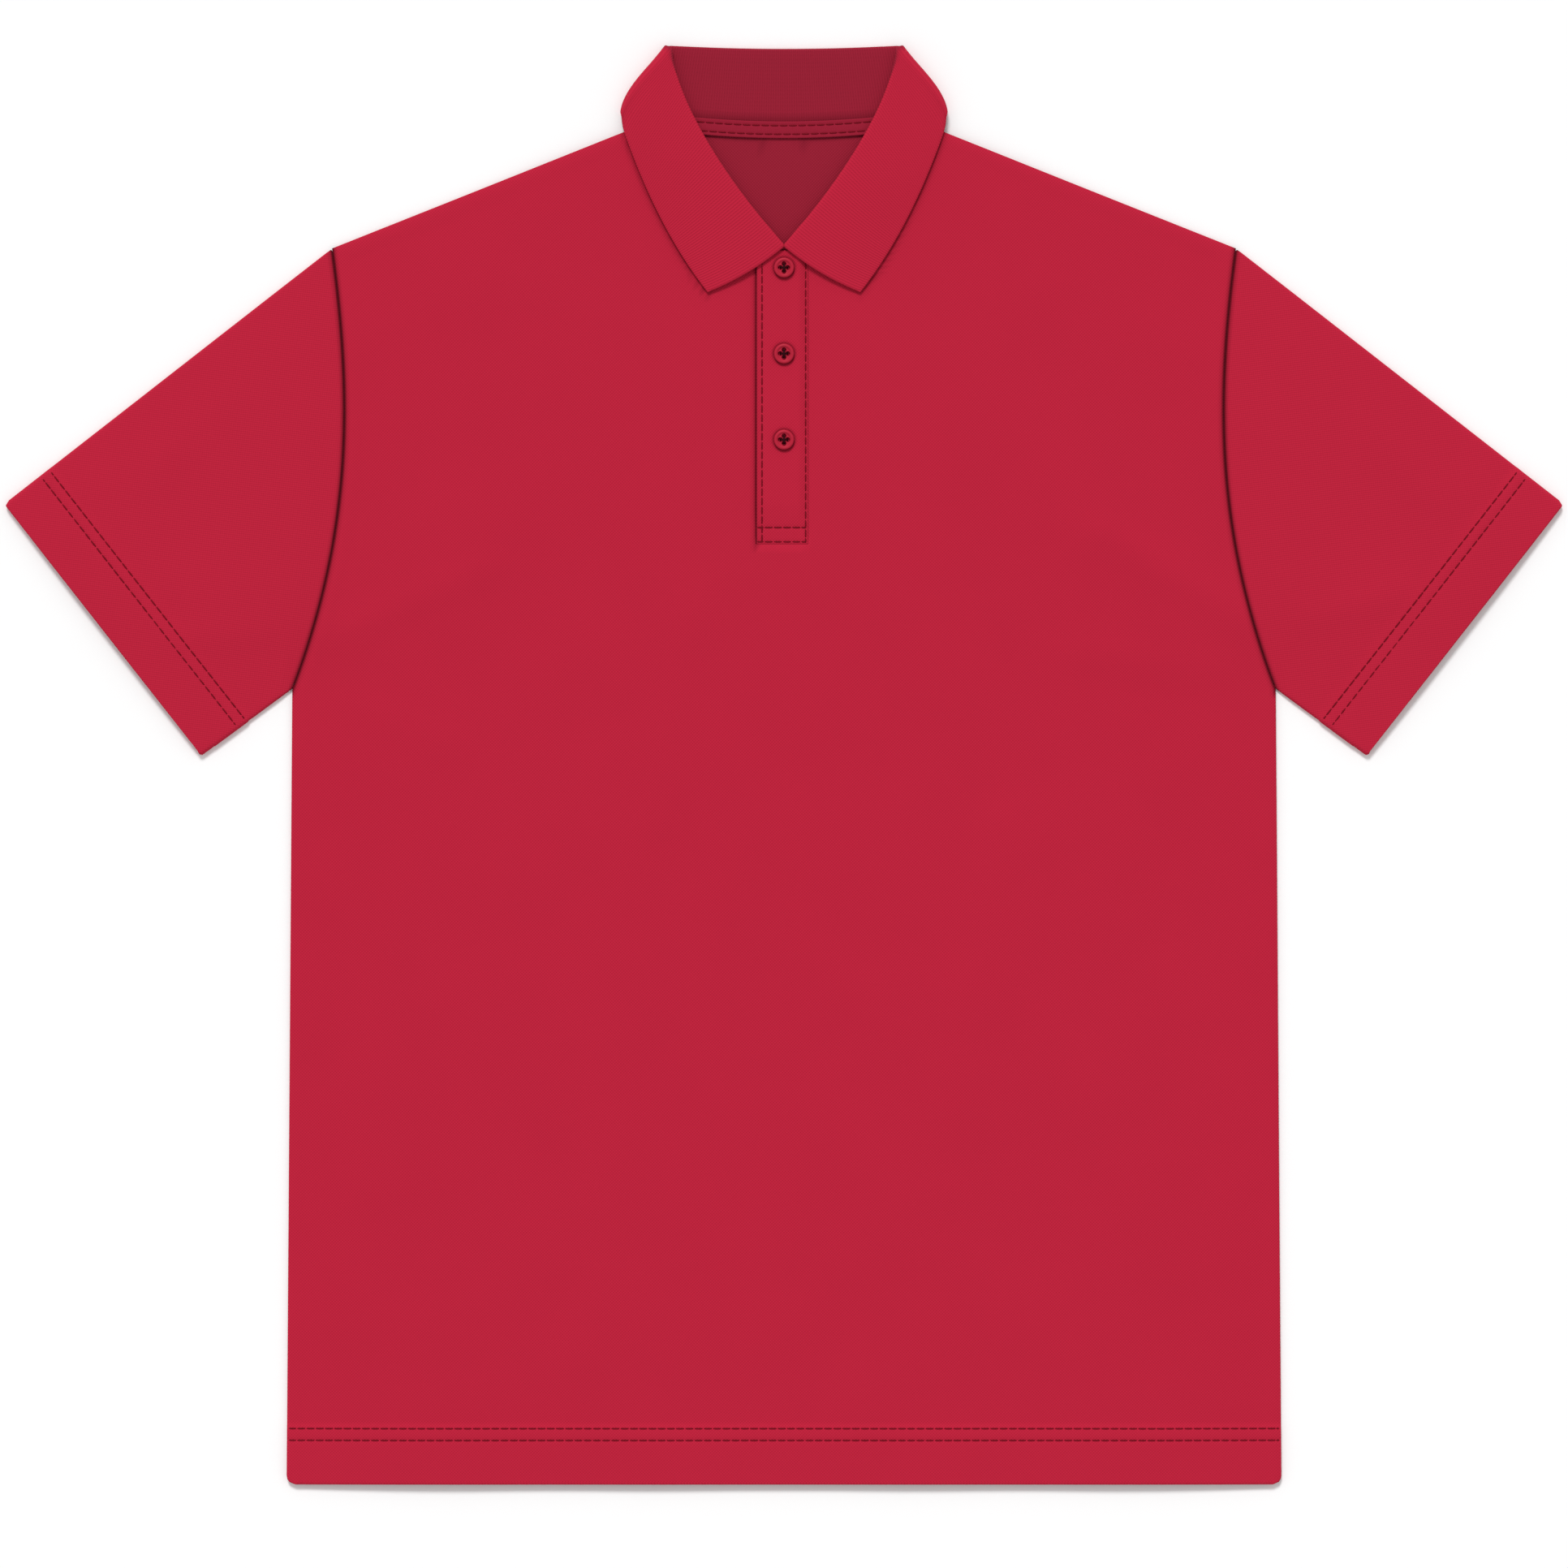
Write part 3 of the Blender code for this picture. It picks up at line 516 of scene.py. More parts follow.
def new_piece(name, points, faces, materials, flat=None, sides=None, fields=()):
    """A smooth-shaded object with these points in millimetres, riding on the shirt's one body."""
    mesh = bpy.data.meshes.new(name)
    faces = faces.tolist() if isinstance(faces, np.ndarray) else faces
    mesh.from_pydata((points * MM).tolist(), [], faces)
    for material in materials:
        mesh.materials.append(material)
    if sides is not None:
        mesh.polygons.foreach_set("material_index", np.asarray(sides, np.int32))
    mesh.polygons.foreach_set("use_smooth", np.ones(len(mesh.polygons), bool))
    if flat is not None:
        corners = np.zeros(len(mesh.loops), np.int32)
        mesh.loops.foreach_get("vertex_index", corners)
        layer = mesh.uv_layers.new(name="cut")
        layer.data.foreach_set("uv", (flat[corners] * MM).astype(np.float32).reshape(-1))
    for key, values in fields:
        field = mesh.attributes.new(key, "FLOAT", "POINT")
        field.data.foreach_set("value", np.asarray(values, np.float32))
    mesh.update()
    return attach(placed(name, mesh), "root")


def cloth_piece(name, middle, quads, wall, flat, materials, seam, inside=None, reach=None):
    """A piece of cloth as a closed shell, with two fields from 0 to 1 for its shader: seam, its painted
    shade, and inside, its share of the painted shade inside the neck.
    """
    points, faces, sides, flat, rim = shell(middle, quads, wall, flat, reach)
    # The seam field is painted shade, not a colour of the seams
    fields = [("seam", over_shell(seam, rim))]
    if inside is not None:
        fields.append(("inside", over_shell(inside, rim)))
    return new_piece(name, points, faces, materials, flat, sides, fields)


def declare(node):
    """Hide the imported solid of the node that a sheet stands for."""
    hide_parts(node)


# ---------------------------------------------------------------- shaders

def fill(tree, node, sockets):
    """Set each named or numbered input of a node to a value, or link it to a socket."""
    for key, value in dict(sockets).items():
        if isinstance(value, bpy.types.NodeSocket):
            tree.links.new(value, node.inputs[key])
        else:
            node.inputs[key].default_value = value


def add_node(tree, kind, sockets=(), **settings):
    """A new node with its settings, and its inputs set or linked."""
    made = tree.nodes.new(kind)
    for key, value in settings.items():
        setattr(made, key, value)
    fill(tree, made, sockets)
    return made


def calc(tree, operation, first, second=0.0, third=0.0):
    """The result of one math node."""
    sockets = {0: first, 1: second, 2: third}
    return add_node(tree, "ShaderNodeMath", sockets, operation=operation).outputs[0]


def noise(tree, place, scale, detail):
    """Plain noise at a place."""
    sockets = {"Vector": place, "Scale": scale, "Detail": detail}
    return add_node(tree, "ShaderNodeTexNoise", sockets).outputs[0]


def blended(tree, share, first, second):
    """The colour a share of the way from the first to the second."""
    return add_node(tree, "ShaderNodeMix", {0: share, 6: first, 7: second}, data_type="RGBA").outputs[2]


def dimmed(tree, colour, share):
    """A colour times a number."""
    sockets = {0: colour, "Scale": share}
    return add_node(tree, "ShaderNodeVectorMath", sockets, operation="SCALE").outputs[0]


def attribute(tree, name):
    """A field of the piece's own points."""
    return add_node(tree, "ShaderNodeAttribute", attribute_name=name).outputs["Fac"]


def object_place(tree):
    """Each point's place in the piece."""
    return add_node(tree, "ShaderNodeTexCoord").outputs["Object"]


def raised(tree, strength, depth, height):
    """The normal of a surface with this height in relief."""
    sockets = {"Strength": strength, "Distance": depth, "Height": height}
    return add_node(tree, "ShaderNodeBump", sockets).outputs[0]


def opaque(colour, share=1.0):
    """A colour times a share, with its alpha."""
    return (*(share * c for c in colour), 1.0)


def new_group(name, inputs, outputs):
    """An empty shader node group with these sockets, its inputs' sockets and its output node."""
    group = bpy.data.node_groups.new(name, "ShaderNodeTree")
    for key, kind, value in inputs:
        socket = group.interface.new_socket(key, in_out="INPUT", socket_type=f"NodeSocket{kind}")
        if value is not None:
            socket.default_value = value
    for key, kind in outputs:
        group.interface.new_socket(key, in_out="OUTPUT", socket_type=f"NodeSocket{kind}")
    return group, group.nodes.new("NodeGroupInput").outputs, group.nodes.new("NodeGroupOutput")


def knit_face_group():
    """Loops of the knit: cosines of the place in the cut, as crossed cells or as plain ribs, and fuzz."""
    existing = bpy.data.node_groups.get("knit face")
    if existing:
        return existing
    group, given, out = new_group(
        "knit face",
        [("Vector", "Vector", None), ("Wale", "Float", 0.0017), ("Course", "Float", 0.0017),
         ("Lattice", "Float", 1.0), ("Fuzz", "Float", 0.3)],
        [("Height", "Float"), ("Pattern", "Float")])
    parts = add_node(group, "ShaderNodeSeparateXYZ", {0: given["Vector"]}).outputs
    waves = []
    for axis, size in (("X", "Wale"), ("Y", "Course")):
        turn = calc(group, "DIVIDE", parts[axis], given[size])
        waves.append(calc(group, "COSINE", calc(group, "MULTIPLY", turn, 2 * pi)))
    cells = calc(group, "MULTIPLY", *waves)
    face = add_node(
        group, "ShaderNodeMix", {0: given["Lattice"], 2: waves[0], 3: cells}, data_type="FLOAT")
    pattern = calc(group, "MULTIPLY_ADD", face.outputs[0], 0.5, 0.5)
    fuzz = calc(group, "SUBTRACT", noise(group, given["Vector"], 1400.0, 2.0), 0.5)
    height = calc(group, "ADD", pattern, calc(group, "MULTIPLY", fuzz, given["Fuzz"]))
    fill(group, out, {"Height": height, "Pattern": pattern})
    return group


def cloth_tone_group():
    """Colour of the cloth: painted shade between the loops and painted light on them, painted shade inside
    the neck and along the seams, with a slow, faint drift of tone.
    """
    existing = bpy.data.node_groups.get("cloth tone")
    if existing:
        return existing
    group, given, out = new_group(
        "cloth tone",
        [("Vector", "Vector", None), ("Outside", "Color", None), ("Inside", "Color", None),
         ("Neck Shade", "Float", 0.0), ("Pattern", "Float", 0.5), ("Depth", "Float", 0.2),
         ("Seam", "Float", 0.0), ("Shade Depth", "Float", 0.78), ("Drift", "Float", 0.05)],
        [("Color", "Color"), ("Roughness", "Float")])
    # The inside colour blended in by the inside field: painted shade inside the neck
    base = blended(group, given["Neck Shade"], given["Outside"], given["Inside"])
    drift = calc(group, "SUBTRACT", noise(group, given["Vector"], 22.0, 3.0), 0.5)
    drift = calc(group, "MULTIPLY", drift, given["Drift"])
    # Painted shade in the knit's hollows and painted light on its loops, from the same pattern as its
    # relief
    hollow = calc(group, "MULTIPLY", calc(group, "SUBTRACT", given["Pattern"], 0.72), given["Depth"])
    # light: the drift of tone plus the painted light and shade of the loops, round 1
    light = calc(group, "ADD", calc(group, "ADD", drift, hollow), 1.0)
    # Painted shade along seams and edges, from the seam field
    seam = calc(group, "MULTIPLY", given["Seam"], given["Shade Depth"])
    shade = calc(group, "MULTIPLY", light, calc(group, "SUBTRACT", 1.0, seam))
    rough = calc(group, "MULTIPLY_ADD", given["Pattern"], -0.08, 0.92)
    fill(group, out, {"Color": dimmed(group, base, shade), "Roughness": rough})
    return group


def new_material(name):
    """A material with its tree and its one shader."""
    material = bpy.data.materials.new(name)
    material.use_nodes = True
    return material, material.node_tree, material.node_tree.nodes["Principled BSDF"]


def cloth_material(name, outside, inside, wale, course, lattice, relief, depth=0.16):
    """Knitted or woven cloth, its pattern laid out on the piece's own cut."""
    existing = bpy.data.materials.get(name)
    if existing:
        return existing
    material, tree, shader = new_material(name)
    cut = add_node(tree, "ShaderNodeUVMap", uv_map="cut").outputs[0]
    face = add_node(tree, "ShaderNodeGroup", {
        "Vector": cut, "Wale": wale, "Course": course, "Lattice": lattice, "Fuzz": 0.35,
    }, node_tree=knit_face_group()).outputs
    # The inside and seam fields carry painted shade: inside the neck, and along seams and edges
    tone = add_node(tree, "ShaderNodeGroup", {
        "Vector": cut, "Outside": opaque(outside), "Inside": opaque(inside),
        "Neck Shade": attribute(tree, "inside"), "Pattern": face["Pattern"], "Depth": depth,
        "Seam": attribute(tree, "seam"),
    }, node_tree=cloth_tone_group()).outputs
    fill(tree, shader, {
        "Base Color": tone["Color"], "Roughness": tone["Roughness"],
        "Normal": raised(tree, 0.8, relief, face["Height"]), "Specular IOR Level": 0.05,
        "Sheen Weight": 0.05, "Sheen Roughness": 0.5, "Sheen Tint": (1.0, 0.45, 0.5, 1.0)})
    return material


def knit_materials(context):
    """The knit's right side, and a copy of it in the darker inside colour, painted shade, for the faces
    that turn inwards.
    """
    cloth = context.scene.golf_shirt_cloth
    size = (cloth.cell, cloth.cell, 1.0, cloth.relief)
    return (cloth_material("pique_knit", cloth.knit, cloth.inside, *size),
            cloth_material("pique_knit_shaded", cloth.inside, cloth.inside, *size))


def thread_material(name, colour):
    """Twisted thread: fine slanting ridges over its colour, with painted shade in their grooves and painted
    light on their crests.
    """
    existing = bpy.data.materials.get(name)
    if existing:
        return existing
    material, tree, shader = new_material(name)
    twist = add_node(
        tree, "ShaderNodeTexWave", {"Vector": object_place(tree), "Scale": 420.0, "Distortion": 1.5},
        bands_direction="DIAGONAL").outputs["Fac"]
    # Painted shade and light: the colour darker in the twist's grooves and lighter on its crests
    fill(tree, shader, {
        "Base Color": blended(tree, twist, opaque(colour, 0.8), opaque(colour, 1.15)),
        "Normal": raised(tree, 0.5, 0.0001, twist), "Roughness": 0.6, "Specular IOR Level": 0.08})
    return material


def resin_material(colour):
    """Dyed resin: a faint cloud in the colour, painted shade in the holes, and a satin face."""
    material, tree, shader = new_material("button_resin")
    cloud = noise(tree, object_place(tree), 260.0, 3.0)
    tint = blended(tree, cloud, opaque(colour, 0.88), opaque(colour, 1.12))
    # Painted shade down the holes' walls, from the seam field
    shade = calc(tree, "SUBTRACT", 1.0, calc(tree, "MULTIPLY", attribute(tree, "seam"), 0.85))
    gloss = add_node(tree, "ShaderNodeMapRange", {0: cloud, 3: 0.38, 4: 0.5}).outputs[0]
    fill(tree, shader, {
        "Base Color": dimmed(tree, tint, shade), "Roughness": gloss, "Specular IOR Level": 0.12})
    return material


def paper_material(colour):
    """The floor's plain surface, with a very faint grain."""
    material, tree, shader = new_material("floor_paper")
    grain = noise(tree, object_place(tree), 40.0, 4.0)
    fill(tree, shader, {
        "Base Color": blended(tree, grain, opaque(colour, 0.995), opaque(colour, 1.005)),
        "Roughness": 0.9, "Specular IOR Level": 0.1})
    return material


# ---------------------------------------------------------------- front and back

def side_edge(y):
    """The side seam at the heights y, with the bottom corner rounded."""
    straight = UNDERARM[0] + (HALF_HEM - UNDERARM[0]) * (UNDERARM[1] - y) / (UNDERARM[1] - HEM_Y)
    short = np.clip(HEM_CORNER - (y - HEM_Y), 0.0, HEM_CORNER)
    return straight - (HEM_CORNER - np.sqrt(HEM_CORNER ** 2 - short ** 2))


def body_rows(slot_y, low_step, high_rows):
    """Heights of the level rows from the hem up to just under slot_y, close together at the stitches."""
    hem_top = HEM_Y + HEM_DEPTH + HEM_STEP + np.array([1.2, 5.0])
    return np.concatenate([
        HEM_Y + np.array([0.0, 1.4, 3.0, 5.0, 9.0, 14.0, 19.0]), BODY_ROWS[0] + BESIDE_ROW,
        BODY_ROWS[1] + BESIDE_ROW[1:], hem_top[:1],
        np.linspace(hem_top[1], UNDERARM[1], round((UNDERARM[1] - hem_top[1]) / low_step), False),
        np.linspace(UNDERARM[1], slot_y, high_rows, False)])


def panel_half(inner_x, levels, slot_y, neck_line, columns, edge_rows):
    """Right half of a panel: straight lines across, from its inner edge to its outer one.

    Below slot_y the rows are level. Above it they fan out, from the placket's edge and the neck line
    on the inside to the armhole on the outside, and the last row is the shoulder seam. The columns
    crowd at both edges: t less half of sin(2 pi t) / 2 pi.
    """
    edge = np.linspace((inner_x, slot_y), neck_line[0], edge_rows, endpoint=False)
    inner = np.concatenate([np.stack([np.full(len(levels), inner_x), levels], -1), edge, neck_line])
    t = np.linspace(0.0, 1.0, 400)
    slot_t = float(np.interp(slot_y, armhole(t)[:, 1], t))
    low = levels[levels < UNDERARM[1]]
    outer = np.concatenate([
        np.stack([side_edge(low), low], -1),
        armhole(np.linspace(0.0, slot_t, len(levels) - len(low), endpoint=False)),
        armhole(slot_t + (1.0 - slot_t) * np.linspace(0.0, 1.0, len(edge) + len(neck_line))),
    ])
    t = np.linspace(0.0, 1.0, columns + 1)
    share = t - 0.5 * np.sin(2 * pi * t) / (2 * pi)
    return mix(inner[:, None, :], outer[:, None, :], share[None, :] + np.zeros((len(inner), 1)))


def mirrored(grid):
    """The same grid on the other side, its columns still running towards +X."""
    return grid[:, ::-1] * np.array([-1.0, 1.0])


def leaf_shade(x, y):
    """How dark the cloth is along the leaf's outer edge, where it lies in the leaf's shade."""
    line, shade = leaf_edge(np.linspace(0.0, 1.0, 60)), np.zeros(len(x))
    near = (np.abs(x) < 110.0) & (y > 250.0)
    shade[near] = EDGE_SHADE * bump(line_distance(np.abs(x[near]), y[near], line), EDGE_SHADE_WIDTH)
    return shade


def placket_shade(x, y):
    """Painted shade on the front beside the placket's free edge: how dark it is."""
    beyond = np.minimum(x - BAND_LEFT, 0.0) + (x > BAND_LEFT) * 9.0
    return EDGE_SHADE * smooth(BAND_BOTTOM - 1.0, BAND_BOTTOM, y) * bump(beyond, EDGE_SHADE_WIDTH)


def band_shade(x, y):
    """Painted shade on the upper band: how dark it is under the leaf, at its free edge and round the
    buttons.
    """
    shade = np.maximum(leaf_shade(x, y), EDGE_SHADE * bump(x - BAND_LEFT, 0.7))
    for middle in BUTTON_YS:
        shade = np.maximum(shade, BUTTON_SHADE * bump(np.hypot(x, y - middle) - BUTTON_RADIUS, 1.0))
    return shade


def tape_shade(x, y):
    """Painted shade on the cloth under the neck tape: how dark it is along the tape's two long edges."""
    away = np.abs(y - back_neck_y(x)) - TAPE_WIDTH / 2
    return EDGE_SHADE * bump(away, 0.9) * (np.abs(x) < TAPE_HALF_LENGTH)


def front_plan():
    """Plan of the front: two halves and the strip below the placket's slot."""
    levels = body_rows(SLOT_Y, 5.5, 15)
    right, left = (
        panel_half(x, levels, SLOT_Y, front_neck(np.linspace(np.arcsin(x / NECK[0]), pi / 2, 34)), 64, 36)
        for x in (SLOT_RIGHT, SLOT_LEFT))
    strip = crossed(np.linspace(-SLOT_LEFT, SLOT_RIGHT, 9), np.append(levels, SLOT_Y))
    return merged([mirrored(left), strip, right])


def front_reach(x, y):
    """Depth of the front's rim: a hair where the placket's band is sewn on, and not held elsewhere."""
    foot = (np.abs(y - SLOT_Y) < 0.01) & (x > -SLOT_LEFT - 0.01) & (x < SLOT_RIGHT + 0.01)
    side = (np.abs(x - SLOT_RIGHT) < 0.01) & (y > SLOT_Y)
    return np.where(foot | side, SEWN_REACH, CLOTH)


def back_plan():
    """Plan of the back: two halves that meet at the centre line."""
    line_x = NECK[0] * np.linspace(0.0, 1.0, 18)
    line = np.stack([line_x, back_neck_y(line_x)], -1)
    half = panel_half(0.0, body_rows(200.0, 11.0, 16), 200.0, line, 34, 16)
    return merged([mirrored(half), half])


class OBJECT_OT_shirt_panels(Operator):
    """Make the front and back panels"""

    bl_idname = "golf_shirt.panels"
    bl_label = "Front and Back"

    def execute(self, context):
        knit, shaded_knit = knit_materials(context)
        # The shaded copy of the knit, painted shade, goes on the faces that turn inwards
        for name, (plan, quads), height, shades, materials, edge, lies_on in (
                ("back", back_plan(), back_height, [tape_shade], (shaded_knit, knit), None, "floor"),
                ("front", front_plan(), front_height, [leaf_shade, placket_shade], (knit, shaded_knit),
                 front_reach, "shirt_back")):
            x, y = plan.T
            # Painted shade along the armhole seam and beside the edges that lie on this panel
            seam = bump(armhole_distance(x, y), SEAM_SHADE_WIDTH)
            for shade in shades:
                seam = np.maximum(seam, shade(x, y))
            panel = cloth_piece(
                f"shirt_{name}", np.stack([x, y, height(x, y)], -1), quads, wall_of(x, y), plan,
                materials, seam, reach=edge and edge(x, y))
            declare(
                f"{name}_panel")
        return {"FINISHED"}


# ---------------------------------------------------------------- sleeves

def turned(start, end, outward, angle):
    """Points of the half turn from start to end, bulging outward in plan."""
    middle, radius = (start + end) / 2, (start[2] - end[2]) / 2
    bulge = np.sin(angle)[:, None] * np.append(outward, 0.0) * abs(radius)
    return middle + bulge + np.cos(angle)[:, None] * np.array([0.0, 0.0, radius])


def sleeve_rings(side):
    """Rings of a sleeve: front layer, fold, back layer and underarm edge, from seam to cuff.

    They are laid out on the left; side is 1 there, and -1 takes the heights of the right sleeve.
    """
    inside = np.concatenate([
        CUFF_ROWS[1] + np.array([6.0, 5.2]), CUFF_ROWS[1] + BESIDE_ROW[::-1],
        CUFF_ROWS[0] + BESIDE_ROW[-2::-1], [20.0, 14.0, 8.0, 3.5, 1.4, 0.0]])
    along = np.round(np.concatenate([
        [0.0, 0.008, 0.018, 0.03], np.linspace(0.045, 0.82, 34), 1.0 - inside / SLEEVE_LENGTH]), 5)
    share = np.linspace(0.0, 1.0, 44)
    seam = armhole(1.0 - share)
    seam = seam + SEWN_GAP * quarter_turn(unit(np.gradient(seam, share, axis=0)))
    seam[0], seam[-1] = np.add(SHOULDER, (SEWN_GAP, 0.0)), np.add(UNDERARM, (UNDERARM_EASE, 0.0))
    cuff = mix(np.array(CUFF_TOP), np.array(CUFF_BOTTOM), share)
    top_out = quarter_turn(unit(np.subtract(CUFF_TOP, SHOULDER)))
    bottom_out = -quarter_turn(unit(np.subtract(CUFF_BOTTOM, UNDERARM)))
    amid = smooth(0.0, 0.04, share) * (1.0 - smooth(0.96, 1.0, share))
    angle = np.linspace(0.0, pi, 9)[1:-1]
    rings = []
    for a in along:
        line = seam + (cuff - seam) * a
        roll, at_cuff = SLEEVE_ROLL * smooth(0.0, 0.2, a), smooth(0.985, 1.0, a)
        wall = wall_of(*line[0]) / 2
        for end, following, outward in ((0, 1, top_out), (-1, -2, bottom_out)):
            radius = (front_mid(side * line[end][0], line[end][1]) + roll - back_mid(*line[end])) / 2
            run = unit(line[following] - line[end])
            line[end] += run * (radius + wall + CUFF_CORNER * at_cuff) / -(run @ outward)
        x, y = line.T
        sewn = pinch(x, y) * amid
        dip = sewn + SEAM_DIP * bump(armhole_distance(x, y), SEAM_WIDTH) * (1.0 - share * 0.4)
        upper = np.stack([x, y, front_mid(side * x, y) + roll - dip], -1)
        lower = np.stack([x, y, back_mid(x, y) + SLEEVE_LIFT + CUFF_LIFT * at_cuff + sewn], -1)
        rings.append(np.concatenate([
            upper, turned(upper[-1], lower[-1], bottom_out, angle),
            lower[::-1], turned(lower[0], upper[0], top_out, angle)]))
    return np.array(rings)


class OBJECT_OT_shirt_sleeves(Operator):
    """Make the two sleeves, each one flattened tube"""

    bl_idname = "golf_shirt.sleeves"
    bl_label = "Sleeves"

    def execute(self, context):
        for name, side in (("left", 1.0), ("right", -1.0)):
            rings = sleeve_rings(side)
            quads, points = grid_quads(*rings.shape[:2], wrap=True), rings.reshape(-1, 3)
            x, y = points[:, 0], points[:, 1]
            flat = np.stack([x * CUFF_RUN[0] + y * CUFF_RUN[1], y * CUFF_RUN[0] - x * CUFF_RUN[1]], -1)
            # The seam field is painted shade along the armhole seam
            sleeve = cloth_piece(
                f"sleeve_{name}_cloth", points * (side, 1.0, 1.0), quads if side > 0 else quads[:, ::-1],
                wall_of(x, y), flat, knit_materials(context),
                bump(armhole_distance(x, y), SEAM_SHADE_WIDTH))
            declare(
                f"sleeve_{name}")
        return {"FINISHED"}


# ---------------------------------------------------------------- collar

def about(plan, outward, front_z, back_z, phi, bulge):
    """Points at the angle phi of the half turn from the front height to the back height."""
    middle, radius = (front_z + back_z) / 2, (front_z - back_z) / 2
    x, y = (plan + (radius * bulge * np.sin(phi))[:, None] * outward).T
    return np.stack([x, y, middle + radius * np.cos(phi)], -1)


def collar_half():
    """Half of the rib band, and the share, from 0 to 1, of the painted shade inside the neck at each of its
    points.

    Each column of points runs from the neck seam up the stand, over the roll and down the leaf. The
    front columns lie on the front panel's height, the back ones on the surface, and the columns
    between them turn about the side creases.
    """
    front, side, back = 44, 12, 24
    q, p = np.linspace(0.0, 1.0, front), np.linspace(0.0, 1.0, back + 1)[1:]
    sweep = np.linspace(0.0, pi, side + 1)[1:]
    phi = np.concatenate([np.zeros(front), sweep, np.full(back, pi)])
    crease = [np.array(point) for point in (CREASE_SEAM, CREASE_ROLL, CREASE_EDGE)]

    # plan points of the neck seam, the roll and the outer edge, column by column
    seam = front_neck(q * pi / 2)
    seam = seam + GAP * unit(np.array([0.0, NECK[1]]) - seam)
    seam[0, 0], seam[-1] = GAP / 2, crease[0]
    ease = p ** 1.2
    back_x, roll_x = (point[0] * (1.0 - ease) for point in crease[:2])
    back_seam = np.stack([back_x, back_neck_y(back_x) + GAP], -1)
    back_roll = np.stack([roll_x, BACK_ROLL_Y + BACK_ROLL_DIP * (1.0 - ease) ** 2], -1)
    around = [np.repeat(point[None], side, 0) for point in crease]
    corner_rise = BACK_ROLL_Y + BACK_ROLL_DIP - crease[1][1]
    around[1][:, 1] += corner_rise * (1.0 - np.sin(sweep)) * (sweep > pi / 2)
    seam = np.concatenate([seam, around[0], back_seam])
    roll = np.concatenate([bezier(*ROLL_CURVE, q), around[1], back_roll])
    edge = np.concatenate([leaf_edge(q), around[2], bezier(*BACK_LEAF_CURVE, ease)])

    # direction in plan in which the roll bulges: up at the closed front, across the roll line
    # along the front, and up again from the side crease to the back
    up, top = np.array([0.0, 1.0]), unit(np.array([-0.37, 0.93]))
    across = quarter_turn(unit(np.gradient(bezier(*ROLL_CURVE, q), axis=0)))
    lean = mix(mix(up, across, smooth(0.0, 0.12, q)), top, smooth(0.75, 1.0, q))
    back_lean = mix(top, up, smooth(0.0, 0.35, p))
    lean = unit(np.concatenate([lean, np.repeat(top[None], side, 0), back_lean]))

    # rows: up the stand, over the roll, down the leaf
    stand_out, leaf_out = unit(np.array([0.98, 0.18])), unit(np.array([0.825, 0.565]))
    downwards, upwards = unit(np.array([-0.53, -0.85])), unit(crease[1] - crease[2])
    beside = np.concatenate([q ** 6, np.ones(side), 1.0 - smooth(0.0, 0.3, p)])
    at_front = np.concatenate([1.0 - smooth(0.0, 0.5, q), np.zeros(side + back)])
    rows, leaf_rows = [], []
    for u in np.linspace(0.0, 1.0, 10):
        plan = mix(seam, roll, u)
        foot = SEAM_RISE + (CLOSED_RISE - SEAM_RISE) * (1.0 - smooth(12.0, 26.0, plan[:, 0]))
        front_z = front_mid(*plan.T) + foot + (STAND_RISE - foot) * smooth(0.0, 0.6, u)
        rows.append(about(plan, stand_out, front_z, BACK_STAND_Z, phi, 1.0))
    for u in np.linspace(0.0, 1.0, 20):
        side_bow, front_bow = 6.75 * u * u * (1.0 - u), 4.0 * u * (1.0 - u)    # each 1 at its peak
        plan = mix(roll, edge, u) + side_bow * LEAF_SIDE_BOW * beside[:, None] * leaf_out
        plan = plan + front_bow * LEAF_FRONT_BOW * at_front[:, None] * downwards
        plan = plan + (LEAF_FOOT_SLANT * u ** 6 * np.sin(phi))[:, None] * upwards
        front_z = front_mid(*plan.T) + LEAF_RISE + (LEAF_EDGE_RISE - LEAF_RISE) * u * u
        leaf_rows.append(about(plan, leaf_out, front_z, LEAF_Z, phi, 1.0 - LEAF_FOOT_TUCK * u ** 4))
    low, high = rows[-1], leaf_rows[0]
    psi = np.linspace(0.0, pi, 11)[1:-1]
    crest = len(rows) + int(np.sum(psi < pi / 2 + 0.01))
    for angle in psi:
        bulge = np.sin(angle) * ROLL_RADIUS * np.pad(lean, ((0, 0), (0, 1)))
        rows.append((low + high) / 2 - (high - low) / 2 * np.cos(angle) + bulge)
    grid = np.array(rows + leaf_rows)
    grid[:, :, 0] = np.maximum(grid[:, :, 0], GAP / 2)
    grid[:, -1, 0] = 0.0
    # How many rows past the crest the painted shade inside the neck reaches onto the leaf, most near its
    # top corners
    further = np.concatenate([smooth(0.78, 0.97, q), np.ones(side), 1.0 - smooth(0.0, 0.1, p)])
    return grid, np.clip(crest + 4.5 * further - np.arange(len(grid))[:, None], 0.0, 1.0)


